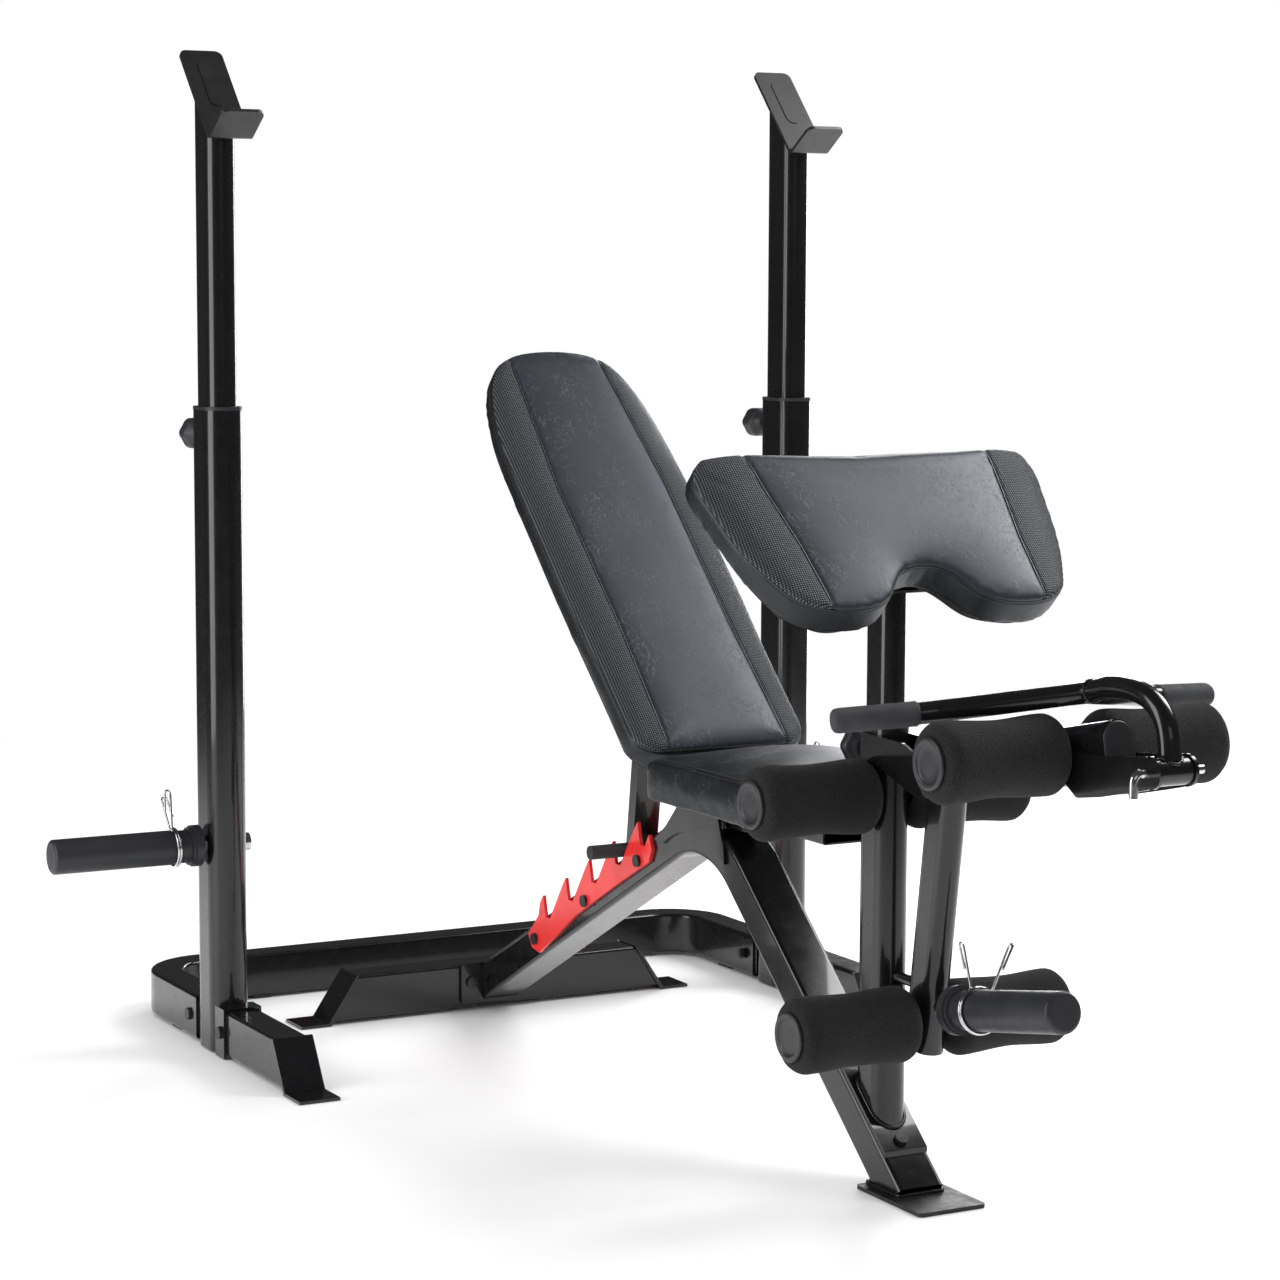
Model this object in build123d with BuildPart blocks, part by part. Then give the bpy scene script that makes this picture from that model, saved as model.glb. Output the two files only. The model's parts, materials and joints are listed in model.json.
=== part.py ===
"""Olympic weight bench: a two-post bar rack with telescoping hooks and plate storage, and a
separate adjustable bench with leg developer, arm-curl pad and curl bar.

Units are millimetres. X runs across the bench, -Y is the leg-developer end, +Y is the rack end,
+Z is up. The floor is z = 0 and the object is symmetric about x = 0.
"""

import os
from math import atan, cos, degrees, radians, sin, tan

from build123d import *

os.makedirs("parts", exist_ok=True)

# ---------------------------------------------------------------- rack, driving dimensions
rack_x = 473.0              # upright centre, either side of the middle
rack_y = 645.0              # upright centre line
floor_gap = 5.0             # rubber pad thickness under the rear base
upright_w, upright_d, upright_wall = 57.0, 90.0, 2.5
upright_top = 930.0
riser_w, riser_d, riser_wall = 45.0, 73.0, 2.5
riser_bottom = 620.0
slide_gap = 0.3             # plastic bushing to sliding tube
bushing_depth, bushing_rim = 22.0, 5.0
knob_z = 893.0
rack_knob_len, post_knob_len = 42.0, 24.0
pin_r, pin_hole_r = 5.0, 5.05
hole_pitch = 50.0

hook_w, hook_t = 64.0, 5.0
hook_lip = (531.0, 1348.0)
hook_seat = (586.0, 1311.0)
hook_back = (702.0, 1438.0)

base_w, base_h, base_wall, base_round = 50.0, 65.0, 2.5, 5.0
base_run_y = 949.0          # centre line of the rear cross run
base_bend = 80.0
base_z = floor_gap + base_h / 2

foot_top_y, foot_heel_y, foot_tip_y = 380.0, 337.0, 283.0
foot_plate_w, foot_plate_t = 60.0, 4.0
saddle_w, saddle_t, saddle_len = 58.0, 3.5, 30.0

rod_r, rod_hole_r, rod_z = 8.0, 8.1, 302.0
sleeve_r, clip_seat_r, collar_r = 25.0, 23.8, 30.0
clip_seat_len = 44.0
sleeve_start, sleeve_end, collar_len = 509.0, 730.0, 12.0
clip_x = 546.0
clip_wire, clip_len = 2.0, 12.0
clip_bore = 25.1

# ---------------------------------------------------------------- bench, driving dimensions
frame_w, frame_h, frame_wall, frame_round = 65.0, 50.0, 3.0, 6.0
frame_rear = (720.0, 31.5)
frame_apex = (3.7, 402.5)
frame_front = (-470.0, -4.6)
frame_bend = 150.0
frame_rear_cut = 694.0
stab_y0, stab_y1, stab_z0, stab_z1 = 700.0, 755.0, 5.0, 72.0
stab_top_x, stab_heel_x, stab_tip_x = 240.0, 286.0, 330.0
bracket_half = 67.0

notch_pitch = (-73.0, 38.3)
first_tooth = (475.0, 216.0)
ladder_t = 5.0
gusset_t = 4.0

hinge = (13.0, 452.0)       # backrest hinge, seen from the side (y, z)
back_origin = (-3.0, 505.0) # lower front edge of the backrest face
back_slope = 43.9
pad_depth, board_depth = 46.0, 10.0
back_tube_w, back_tube_t = 40.0, 25.0
prop_top = (207.0, 568.0)
bar_centre = (240.5, 320.3)
bar_r, bar_half = 10.0, 82.0

seat_y0, seat_y1, seat_half = -30.0, -332.0, 150.0
seat_z0, seat_z1 = 441.0, 512.0

post_y = -391.0
post_w, post_d, post_wall = 45.0, 68.0, 2.5
post_top = 572.0
curl_post_w, curl_post_d = 35.0, 57.0
curl_post_bottom = 350.0
axle_slot = 200.0           # open-ended slot that clears the knee axle over the post's travel
post_knob_z = 540.0
curl_face = (-340.0, 910.0) # upper edge of the arm-curl pad face
curl_slope = 44.7
board_top = 84.0

leg_pivot = (-532.0, 515.0)
leg_tilt, peg_tilt = 8.0, 10.6
leg_len = 330.0
arm_rise = 12.0
arm_start = (-532.0, 532.6)
arm_end_y = -868.0
axle_r, foam_bore = 12.5, 12.55
foam_r, foam_waist, foam_in, foam_out = 47.5, 45.0, 28.0, 192.0
knee_axle = (-397.0, 489.0)
thigh_axle = (-783.0, 590.0)
ankle_drop = 294.6          # pivot to lower roller axle, along the leg
leg_rod_start = (-557.0, 249.0)
leg_sleeve_len = 222.0
curl_pivot = (-958.0, 592.0)
curl_tube_r, grip_r = 12.5, 14.5
sleeve_outer, curl_pin_r, curl_bore = 15.5, 5.0, 5.05
bolt_r, bolt_hole_r = 5.0, 5.05

SIDES = (-1, 1)


# ---------------------------------------------------------------- shared shapes
def oval(width, depth, wall):
    """Flat-sided oval tube outline, long axis along the sketch's Y."""
    SlotOverall(depth, width, rotation=90)
    SlotOverall(depth - 2 * wall, width - 2 * wall, rotation=90, mode=Mode.SUBTRACT)


def box_ring(width, height, wall, corner):
    """Rounded rectangular tube outline."""
    RectangleRounded(width, height, corner)
    RectangleRounded(width - 2 * wall, height - 2 * wall, corner - wall + 1, mode=Mode.SUBTRACT)


def drill_x(radius, y, z, x=0.0, length=200.0):
    """Hole straight across the width."""
    with Locations((x, y, z)):
        Cylinder(radius, length, rotation=(0, 90, 0), mode=Mode.SUBTRACT)


def side_prism(points, x0, x1, mode=Mode.ADD):
    """Side profile given as (y, z) points, drawn from x0 to x1."""
    with BuildSketch(Plane.YZ.offset(x0)) as side:
        with BuildLine():
            Polyline(*points, close=True)
        make_face()
    extrude(side.sketch, amount=x1 - x0, mode=mode)


def rounded_prism(points, radius, x0, x1):
    """Side profile given as (y, z) points with rounded corners, drawn from x0 to x1."""
    with BuildSketch(Plane.YZ.offset(x0)) as side:
        with BuildLine():
            Polyline(*points, close=True)
        make_face()
        fillet(side.vertices(), radius)
    extrude(side.sketch, amount=x1 - x0)


def rod_x(radius, x0, x1, y, z):
    """Round bar across the width."""
    with BuildSketch(Plane.YZ.offset(x0)) as disc:
        with Locations((y, z)):
            Circle(radius)
    extrude(disc.sketch, amount=x1 - x0)


def bolt_x(y, z, x_head, x_tip, radius=bolt_r):
    """Through bolt along X: round head at x_head, shank to x_tip, hex nut before the tip."""
    way = 1 if x_tip > x_head else -1
    with BuildSketch(Plane(origin=(x_head, y, z), z_dir=(-way, 0, 0))) as head:
        Circle(radius * 1.8)
    extrude(head.sketch, amount=4)
    with BuildSketch(Plane(origin=(x_head, y, z), z_dir=(way, 0, 0))) as shank:
        Circle(radius)
    extrude(shank.sketch, amount=abs(x_tip - x_head))
    with BuildSketch(Plane(origin=(x_tip - way * 8, y, z), z_dir=(way, 0, 0))) as nut:
        RegularPolygon(radius * 1.7, 6)
    extrude(nut.sketch, amount=6)


def slope_end(y_top, y_heel, y_tip, z0, z1):
    """Side profile of a bent end plate: slanting face and flat toe."""
    t = foot_plate_t
    return [(y_top, z1), (y_heel, t), (y_tip, t), (y_tip, 0), (y_heel + t, 0), (y_top + t, z1)]


# ---------------------------------------------------------------- rear base and feet
with BuildPart() as rear_base:
    arm_front = rack_y + upright_d / 2 + 3
    with BuildLine(Plane.XY.offset(base_z)) as base_path:
        FilletPolyline(
            (-rack_x, arm_front),
            (-rack_x, base_run_y),
            (rack_x, base_run_y),
            (rack_x, arm_front),
            radius=base_bend,
        )
    with BuildSketch(Plane(origin=(-rack_x, arm_front, base_z), x_dir=(1, 0, 0), z_dir=(0, 1, 0))):
        box_ring(base_w, base_h, base_wall, base_round)
    sweep(path=base_path.wires()[0])
    drill_x(bolt_hole_r, 722, base_z, length=1200)

with BuildPart() as base_pads:
    pad_spots = [(-rack_x, 800), (rack_x, 800), (-300, base_run_y), (300, base_run_y)]
    with BuildSketch():
        with Locations(*pad_spots):
            RectangleRounded(34, 44, 6)
    extrude(amount=floor_gap)


def make_foot(side):
    with BuildPart() as foot:
        x = side * rack_x
        with BuildSketch(Plane(origin=(x, 597, base_z), x_dir=(1, 0, 0), z_dir=(0, -1, 0))):
            box_ring(base_w, base_h, base_wall, base_round)
        extrude(amount=597 - foot_heel_y)
        cut = [(foot_top_y + 4, 90), (foot_top_y + 4, 70), (foot_heel_y + 4, 4), (300, 4), (300, 90)]
        side_prism(cut, x - 60, x + 60, mode=Mode.SUBTRACT)
        drill_x(bolt_hole_r, 585, base_z, x=x)
        toe = slope_end(foot_top_y, foot_heel_y, foot_tip_y, 0, 71)
        side_prism(toe, x - foot_plate_w / 2, x + foot_plate_w / 2)
    return foot


left_front_foot = make_foot(-1)
right_front_foot = make_foot(1)


# ---------------------------------------------------------------- uprights
def make_upright(side):
    x = side * rack_x
    rear = rack_y + upright_d / 2
    front = rack_y - upright_d / 2
    with BuildPart() as upright:
        with BuildSketch(Plane(origin=(x, rack_y, 3))):
            oval(upright_w, upright_d, upright_wall)
        extrude(amount=upright_top - 3)
        drill_x(rod_hole_r, rack_y, rod_z, x=x)
        with BuildSketch(Plane(origin=(x, front + 4, base_z), x_dir=(1, 0, 0), z_dir=(0, -1, 0))):
            Rectangle(saddle_w, base_h + 7)
            Rectangle(base_w + 0.6, base_h + 0.6, mode=Mode.SUBTRACT)
            with Locations((0, -base_h / 2)):
                Rectangle(base_w + 0.6, 20, mode=Mode.SUBTRACT)
        extrude(amount=saddle_len + 4)
        with BuildSketch(Plane(origin=(x, rear - 4, base_z), x_dir=(1, 0, 0), z_dir=(0, 1, 0))):
            RectangleRounded(base_w - 6, base_h - 6, 4)
            Rectangle(base_w - 14, base_h - 14, mode=Mode.SUBTRACT)
        extrude(amount=54)
        with Locations((x, 722, base_z), (x, 585, base_z)):
            Cylinder(bolt_hole_r, 120, rotation=(0, 90, 0), mode=Mode.SUBTRACT)
        with Locations((x, rear + 5, knob_z)):
            Cylinder(9.5, 14, rotation=(90, 0, 0))
        with Locations((x, rear, knob_z)):
            Cylinder(pin_hole_r, 30, rotation=(90, 0, 0), mode=Mode.SUBTRACT)
    return upright


left_upright = make_upright(-1)
right_upright = make_upright(1)

with BuildPart() as upright_bushings:
    rack_spots = [(-rack_x, rack_y), (rack_x, rack_y)]
    inner_w = upright_w - 2 * upright_wall - 0.2
    inner_d = upright_d - 2 * upright_wall - 0.2
    with BuildSketch(Plane.XY.offset(upright_top - bushing_depth)):
        with Locations(*rack_spots):
            SlotOverall(inner_d, inner_w, rotation=90)
    extrude(amount=bushing_depth)
    with BuildSketch(Plane.XY.offset(upright_top)):
        with Locations(*rack_spots):
            SlotOverall(upright_d + 1, upright_w + 1, rotation=90)
    extrude(amount=bushing_rim)
    with BuildSketch(Plane.XY.offset(upright_top - bushing_depth)):
        with Locations(*rack_spots):
            SlotOverall(riser_d + 2 * slide_gap, riser_w + 2 * slide_gap, rotation=90)
    extrude(amount=bushing_depth + bushing_rim, mode=Mode.SUBTRACT)

with BuildPart() as rack_bolts:
    for s in SIDES:
        bolt_x(722, base_z, s * (rack_x + base_w / 2), s * (rack_x - base_w / 2 - 10))
        bolt_x(585, base_z, s * (rack_x + saddle_w / 2), s * (rack_x - saddle_w / 2 - 10))


# ---------------------------------------------------------------- plate storage
with BuildPart() as plate_rods:
    for s in SIDES:
        skin = s * (rack_x + upright_w / 2)
        inner_skin = s * (rack_x - upright_w / 2)
        rod_x(rod_r, inner_skin - s * 3, s * (sleeve_end - 8), rack_y, rod_z)
        with BuildSketch(Plane(origin=(inner_skin, rack_y, rod_z), z_dir=(-s, 0, 0))):
            Circle(13)
        extrude(amount=12)
        with BuildSketch(Plane(origin=(skin, rack_y, rod_z), z_dir=(s, 0, 0))):
            RegularPolygon(13, 6)
        extrude(amount=7)


def make_plate_sleeve(side):
    with BuildPart() as sleeve:
        start = Plane(origin=(side * sleeve_start, rack_y, rod_z), z_dir=(side, 0, 0))
        with BuildSketch(start):
            Circle(clip_seat_r)
        extrude(amount=clip_seat_len)
        with BuildSketch(start.offset(clip_seat_len)):
            Circle(sleeve_r)
        extrude(amount=sleeve_end - sleeve_start - clip_seat_len)
        tip = sleeve.edges().filter_by(GeomType.CIRCLE).group_by(Axis.X)[-1 if side > 0 else 0]
        fillet(tip, 5)
        with BuildSketch(start):
            Circle(collar_r)
        extrude(amount=collar_len)
        with BuildSketch(start.offset(collar_len)):
            Circle(collar_r - 2.5)
        extrude(amount=5)
        with BuildSketch(start):
            Circle(rod_hole_r)
        extrude(amount=sleeve_end - sleeve_start - 8, mode=Mode.SUBTRACT)
    return sleeve


left_plate_sleeve = make_plate_sleeve(-1)
right_plate_sleeve = make_plate_sleeve(1)


def make_clip(origin, axis, up, lean):
    """Coiled wire clip with two loop handles, spread either side of the lean angle."""
    coil = Plane(origin=origin, x_dir=up, z_dir=axis)
    with BuildPart() as clip:
        with BuildSketch(coil.offset(-clip_len / 2)):
            Circle(clip_bore + 2 * clip_wire)
            Circle(clip_bore, mode=Mode.SUBTRACT)
        extrude(amount=clip_len)
        for angle, reach in ((lean - 25, 58), (lean + 25, 62)):
            turned = coil.rotated((0, 0, angle))
            loop = Plane(origin=origin, x_dir=turned.x_dir, z_dir=turned.y_dir)
            r0 = clip_bore + clip_wire
            with BuildLine(loop) as wire:
                a = (r0, 4)
                b = (reach, 4)
                c = (reach, -4)
                d = (r0, -4)
                Line(a, b)
                ThreePointArc(b, (reach + 4, 0), c)
                Line(c, d)
            start = Plane(origin=wire.wires()[0] @ 0, z_dir=wire.wires()[0] % 0)
            with BuildSketch(start):
                Circle(clip_wire)
            sweep(path=wire.wires()[0])
    return clip


left_spring_clip = make_clip((-clip_x, rack_y, rod_z), (1, 0, 0), (0, 0, 1), 31)
right_spring_clip = make_clip((clip_x, rack_y, rod_z), (1, 0, 0), (0, 0, 1), 31)


# ---------------------------------------------------------------- pull knobs
def make_knob(x, tip_y, seat_y, z, grip_len):
    """Lobed knob with its locking pin; the pin points to -Y."""
    with BuildPart() as knob:
        with BuildSketch(Plane(origin=(x, tip_y, z), z_dir=(0, 1, 0))):
            Circle(pin_r)
        extrude(amount=seat_y - tip_y + 4)
        with BuildSketch(Plane(origin=(x, seat_y + 0.4, z), z_dir=(0, 1, 0))):
            Circle(18)
            with PolarLocations(17, 6):
                Circle(7)
        extrude(amount=grip_len)
        with BuildSketch(Plane(origin=(x, seat_y + grip_len, z), z_dir=(0, 1, 0))):
            Circle(17)
        extrude(amount=5)
    return knob


knob_seat = rack_y + upright_d / 2 + 12
knob_tip = rack_y + riser_d / 2 + 0.6
left_rack_knob = make_knob(-rack_x, knob_tip, knob_seat, knob_z, rack_knob_len)
right_rack_knob = make_knob(rack_x, knob_tip, knob_seat, knob_z, rack_knob_len)
post_knob = make_knob(0, post_y + curl_post_d / 2 + 0.6, post_y + post_d / 2 + 10, post_knob_z, post_knob_len)


# ---------------------------------------------------------------- risers and bar hooks
hook_rise = (hook_back[1] - hook_seat[1]) / (hook_back[0] - hook_seat[0])
hook_drop = hook_t / 2 / cos(atan(hook_rise)) + 0.02


def make_riser(side):
    x = side * rack_x
    with BuildPart() as riser:
        with BuildSketch(Plane(origin=(x, rack_y, riser_bottom))):
            oval(riser_w, riser_d, riser_wall)
        extrude(amount=hook_back[1] - riser_bottom)
        y0, y1 = rack_y - 80, rack_y + 80
        z0 = hook_seat[1] + hook_rise * (y0 - hook_seat[0]) - hook_drop
        z1 = hook_seat[1] + hook_rise * (y1 - hook_seat[0]) - hook_drop
        side_prism([(y0, z0), (y1, z1), (y1, 1600), (y0, 1600)], x - 60, x + 60, mode=Mode.SUBTRACT)
        with Locations(*[(x, rack_y + riser_d / 2, knob_z + n * hole_pitch) for n in range(-4, 6)]):
            Cylinder(pin_r + 0.5, 20, rotation=(90, 0, 0), mode=Mode.SUBTRACT)
    return riser


left_riser = make_riser(-1)
right_riser = make_riser(1)


def make_hook(side):
    x = side * rack_x
    with BuildPart() as hook:
        with BuildSketch(Plane.YZ.offset(x - hook_w / 2)):
            with BuildLine():
                FilletPolyline(hook_lip, hook_seat, hook_back, radius=9)
            trace(line_width=hook_t)
        extrude(amount=hook_w)
        tips = hook.edges().filter_by(GeomType.LINE).filter_by(lambda e: abs(e.length - hook_t) < 0.01)
        fillet(tips, 11)
        mid_y = hook_seat[0] + 0.62 * (hook_back[0] - hook_seat[0])
        mid_z = hook_seat[1] + 0.62 * (hook_back[1] - hook_seat[1])
        tilt = atan(hook_rise)
        face = Plane(origin=(x, mid_y, mid_z), x_dir=(1, 0, 0), z_dir=(0, -sin(tilt), cos(tilt)))
        with BuildSketch(face.offset(hook_t / 2)):
            SlotOverall(90, 22, rotation=90)
        extrude(amount=1.2)
    return hook


left_bar_hook = make_hook(-1)
right_bar_hook = make_hook(1)


# ---------------------------------------------------------------- bench base and main frame
with BuildPart() as rear_stabilizer:
    stab_mid_y = (stab_y0 + stab_y1) / 2
    stab_mid_z = (stab_z0 + stab_z1) / 2
    with BuildSketch(Plane(origin=(-stab_heel_x, stab_mid_y, stab_mid_z), x_dir=(0, 1, 0), z_dir=(1, 0, 0))):
        box_ring(stab_y1 - stab_y0, stab_z1 - stab_z0, 2.5, base_round)
    extrude(amount=2 * stab_heel_x)
    for s in SIDES:
        slant = [(s * (stab_top_x - 4), 72), (s * (stab_heel_x - 4), 4), (s * 340, 4), (s * 340, 80)]
        with BuildSketch(Plane(origin=(0, stab_y0 - 20, 0), x_dir=(1, 0, 0), z_dir=(0, -1, 0))):
            with BuildLine():
                Polyline(*slant, (s * (stab_top_x - 4), 80), close=True)
            make_face()
        extrude(amount=-120, mode=Mode.SUBTRACT)
        toe = [(s * stab_top_x, 73), (s * stab_heel_x, 4), (s * stab_tip_x, 4), (s * stab_tip_x, 0)]
        toe = toe + [(s * (stab_heel_x - 4), 0), (s * (stab_top_x - 4), 73)]
        with BuildSketch(Plane(origin=(0, stab_y0 - 4, 0), x_dir=(1, 0, 0), z_dir=(0, -1, 0))):
            with BuildLine():
                Polyline(*toe, close=True)
            make_face()
        extrude(amount=-(stab_y1 - stab_y0 + 8))
    with BuildSketch(Plane(origin=(0, stab_y0, 43), x_dir=(1, 0, 0), z_dir=(0, -1, 0))):
        RectangleRounded(2 * bracket_half, 62, 4)
    extrude(amount=5.5)
    with Locations((-50, 700, 45), (50, 700, 45)):
        Cylinder(bolt_hole_r, 40, rotation=(90, 0, 0), mode=Mode.SUBTRACT)

frame_slope = degrees(atan((frame_front[1] - frame_apex[1]) / (frame_front[0] - frame_apex[0])))
leg_top_rise = tan(radians(frame_slope))
leg_top_z0 = frame_apex[1] + frame_h / 2 / cos(radians(frame_slope))


def leg_surface(y):
    """Height of the front leg's upper face."""
    return leg_top_z0 + leg_top_rise * (y - frame_apex[0])


with BuildPart() as main_frame:
    with BuildLine(Plane.YZ) as frame_path:
        FilletPolyline(frame_rear, frame_apex, frame_front, radius=frame_bend)
    frame_wire = frame_path.wires()[0]
    start_at = frame_wire @ 0
    with BuildSketch(Plane(origin=start_at, x_dir=(1, 0, 0), z_dir=frame_wire % 0)):
        box_ring(frame_w, frame_h, frame_wall, frame_round)
    sweep(path=frame_wire)
    with Locations((0, frame_rear_cut + 50, 60)):
        Box(120, 100, 200, mode=Mode.SUBTRACT)
    with Locations((0, -450, -45)):
        Box(120, 300, 100, mode=Mode.SUBTRACT)

with BuildPart() as front_foot_plate:
    with BuildSketch():
        with Locations((0, -483)):
            RectangleRounded(96, 146, 6)
    extrude(amount=5)

with BuildPart() as frame_gussets:
    for s in SIDES:
        skin = s * (frame_w / 2 + 0.05)
        with BuildSketch(Plane.YZ.offset(skin if s > 0 else skin - gusset_t)) as gusset_face:
            with BuildLine():
                Polyline((112, 350), (136, 352), (103, 376), (78, 401), (45, 436), (27, 454))
                ThreePointArc((27, 454), (13, 466), (-1, 454))
                Polyline((-1, 454), (-14, 436), (-45, 436), (-38, 412), (-56, 366), (-58, 348))
                ThreePointArc((-58, 348), (29, 377), (112, 350))
            make_face()
            with Locations(hinge):
                Circle(6.05, mode=Mode.SUBTRACT)
        extrude(amount=gusset_t)

with BuildPart() as ladder_plates:
    px, pz = notch_pitch
    for s in SIDES:
        skin = s * (frame_w / 2 + 0.05)
        outline = [(524, 150), (490, 184)]
        for n in range(5):
            ty, tz = first_tooth[0] + n * px, first_tooth[1] + n * pz
            outline += [(ty + 10, tz - 12), (ty, tz), (ty - 5, tz - 20)]
            outline += [(ty - 9, tz - 31), (ty - 22, tz - 31)]
        outline += [(150, 356), (141, 338), (150, 318), (250, 268), (370, 205), (488, 128), (512, 132)]
        with BuildSketch(Plane.YZ.offset(skin if s > 0 else skin - ladder_t)):
            with BuildLine():
                Polyline(*outline, close=True)
            make_face()
            with Locations((500, 147), (341, 231), (181, 315)):
                Circle(bolt_hole_r, mode=Mode.SUBTRACT)
        extrude(amount=ladder_t)

with BuildPart() as bench_bolts:
    for spot in ((500, 147), (341, 231), (181, 315)):
        for s in SIDES:
            with BuildSketch(Plane(origin=(s * 37.6, spot[0], spot[1]), z_dir=(s, 0, 0))):
                Circle(8.5)
            extrude(amount=4.5)
    for x in (-50, 50):
        with BuildSketch(Plane(origin=(x, 694.5, 45), z_dir=(0, -1, 0))):
            Circle(8.5)
        extrude(amount=4.5)
    plate_bolt_y = -438
    with BuildSketch(Plane(
        origin=(0, plate_bolt_y, leg_surface(plate_bolt_y) + 5.2 / cos(radians(frame_slope))),
        x_dir=(1, 0, 0),
        z_dir=(0, -sin(radians(frame_slope)), cos(radians(frame_slope))),
    )):
        Circle(8.5)
    extrude(amount=4.5)


# ---------------------------------------------------------------- seat
with BuildPart() as seat_bracket:
    with BuildSketch(Plane(origin=(0, -15, 423.5), x_dir=(1, 0, 0), z_dir=(0, -1, 0))):
        box_ring(frame_w - 0.2, 25, 2.5, 4)
    extrude(amount=285)
    with BuildSketch(Plane(origin=(0, -165, 436))):
        RectangleRounded(180, 270, 12)
    extrude(amount=4.8)
    with Locations((0, -60, 404)):
        Box(40, 50, 20)

with BuildPart() as seat_pad:
    with BuildSketch(Plane.XY.offset(seat_z0)):
        with Locations((0, (seat_y0 + seat_y1) / 2)):
            RectangleRounded(2 * seat_half, seat_y0 - seat_y1, 28)
    extrude(amount=seat_z1 - seat_z0)
    fillet(seat_pad.edges().group_by(Axis.Z)[-1], 14)
    fillet(seat_pad.edges().group_by(Axis.Z)[0], 4)


# ---------------------------------------------------------------- backrest
back_c, back_s = cos(radians(back_slope)), sin(radians(back_slope))
back_plane = Plane(
    origin=(0, back_origin[0], back_origin[1]),
    x_dir=(1, 0, 0),
    z_dir=(0, -back_s, back_c),
)


def back_outline(inset):
    """Backrest outline on the current sketch plane, moved in by the inset."""
    k = inset
    with BuildLine() as edge_line:
        Spline(
            (133 - k, 35), (137 - k, 300), (136 - k, 490), (120 - k, 650), (90 - k, 713 - k),
            (0, 740 - k),
            (k - 90, 713 - k), (k - 120, 650), (k - 136, 490), (k - 137, 300), (k - 133, 35),
        )
        ThreePointArc((k - 133, 35), (k - 121, 4 + k), (-92, k - 8))
        Line((-92, k - 8), (92, k - 8))
        ThreePointArc((92, k - 8), (121 - k, 4 + k), (133 - k, 35))
    make_face(edge_line.edges())


with BuildPart() as backrest_pad:
    with BuildSketch(back_plane.offset(-pad_depth)):
        back_outline(0)
    extrude(amount=pad_depth)
    face_edges = backrest_pad.faces().sort_by(Axis((0, 0, 0), (0, -back_s, back_c)))[-1].edges()
    fillet(face_edges, 13)

with BuildPart() as backrest_board:
    with BuildSketch(back_plane.offset(-pad_depth - board_depth)):
        back_outline(9)
    extrude(amount=board_depth - 0.05)


def back_point(s, n):
    """Side view point from distance s up the face and depth n behind it."""
    y = back_origin[0] + s * back_c + n * back_s
    z = back_origin[1] + s * back_s - n * back_c
    return (y, z)


with BuildPart() as backrest_frame:
    tube_n = pad_depth + board_depth
    tube_far = tube_n + back_tube_t
    back_tube = [back_point(-10, tube_n), back_point(560, tube_n)]
    back_tube += [back_point(560, tube_far), back_point(-10, tube_far)]
    side_prism(back_tube, -back_tube_w / 2, back_tube_w / 2)
    hollow = [back_point(-7, tube_n + 3), back_point(557, tube_n + 3)]
    hollow += [back_point(557, tube_far - 3), back_point(-7, tube_far - 3)]
    side_prism(hollow, -back_tube_w / 2 + 3, back_tube_w / 2 - 3, mode=Mode.SUBTRACT)
    with BuildSketch(back_plane.offset(-tube_n)):
        with Locations((0, 90), (0, 480)):
            RectangleRounded(150, 46, 5)
    extrude(amount=-4)
    for s in SIDES:
        near = s * back_tube_w / 2
        low = near if s > 0 else near - 4
        lug = [back_point(-8, tube_n), back_point(45, tube_n), back_point(45, tube_far)]
        lug += [back_point(-5, tube_far), (hinge[0] - 3, hinge[1] - 13.5), (hinge[0] - 12, hinge[1] + 6)]
        side_prism(lug, low, low + 4)
        rod_x(14, low, low + 4, *hinge)
        ear = [back_point(165, tube_n + 2), back_point(225, tube_n + 2), back_point(225, tube_far)]
        ear += [back_point(207, tube_far + 27), back_point(183, tube_far + 27), back_point(165, tube_far)]
        side_prism(ear, low, low + 4)
    drill_x(6.05, *hinge)
    drill_x(5.2, *prop_top)
    rod_x(5.15, -26, 26, *prop_top)
    rod_x(9, -29, -24, *prop_top)
    rod_x(9, 24, 29, *prop_top)

prop_dy = bar_centre[0] - prop_top[0]
prop_dz = bar_centre[1] - prop_top[1]
prop_len = (prop_dy ** 2 + prop_dz ** 2) ** 0.5
prop_uy, prop_uz = prop_dy / prop_len, prop_dz / prop_len

with BuildPart() as prop_tube:
    half_t = 10.0
    prop_side = []
    for along, across in ((0, -half_t), (prop_len - 2, -half_t), (prop_len - 2, half_t), (0, half_t)):
        py = prop_top[0] + prop_uy * along - prop_uz * across
        pz_ = prop_top[1] + prop_uz * along + prop_uy * across
        prop_side.append((py, pz_))
    side_prism(prop_side, -19.5, 19.5)
    rod_x(half_t, -19.5, 19.5, *prop_top)
    drill_x(5.2, *prop_top)
    drill_x(bar_r, *bar_centre)

with BuildPart() as prop_crossbar:
    rod_x(bar_r, -bar_half, bar_half, *bar_centre)

with BuildPart() as pivot_bolts:
    rod_x(6, -39, 39, *hinge)
    rod_x(11, 36.6, 42, *hinge)
    rod_x(11, -42, -36.6, *hinge)
    rod_x(6, -29, 29, *leg_pivot)
    rod_x(11, 26.6, 32, *leg_pivot)
    rod_x(11, -32, -26.6, *leg_pivot)


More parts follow.
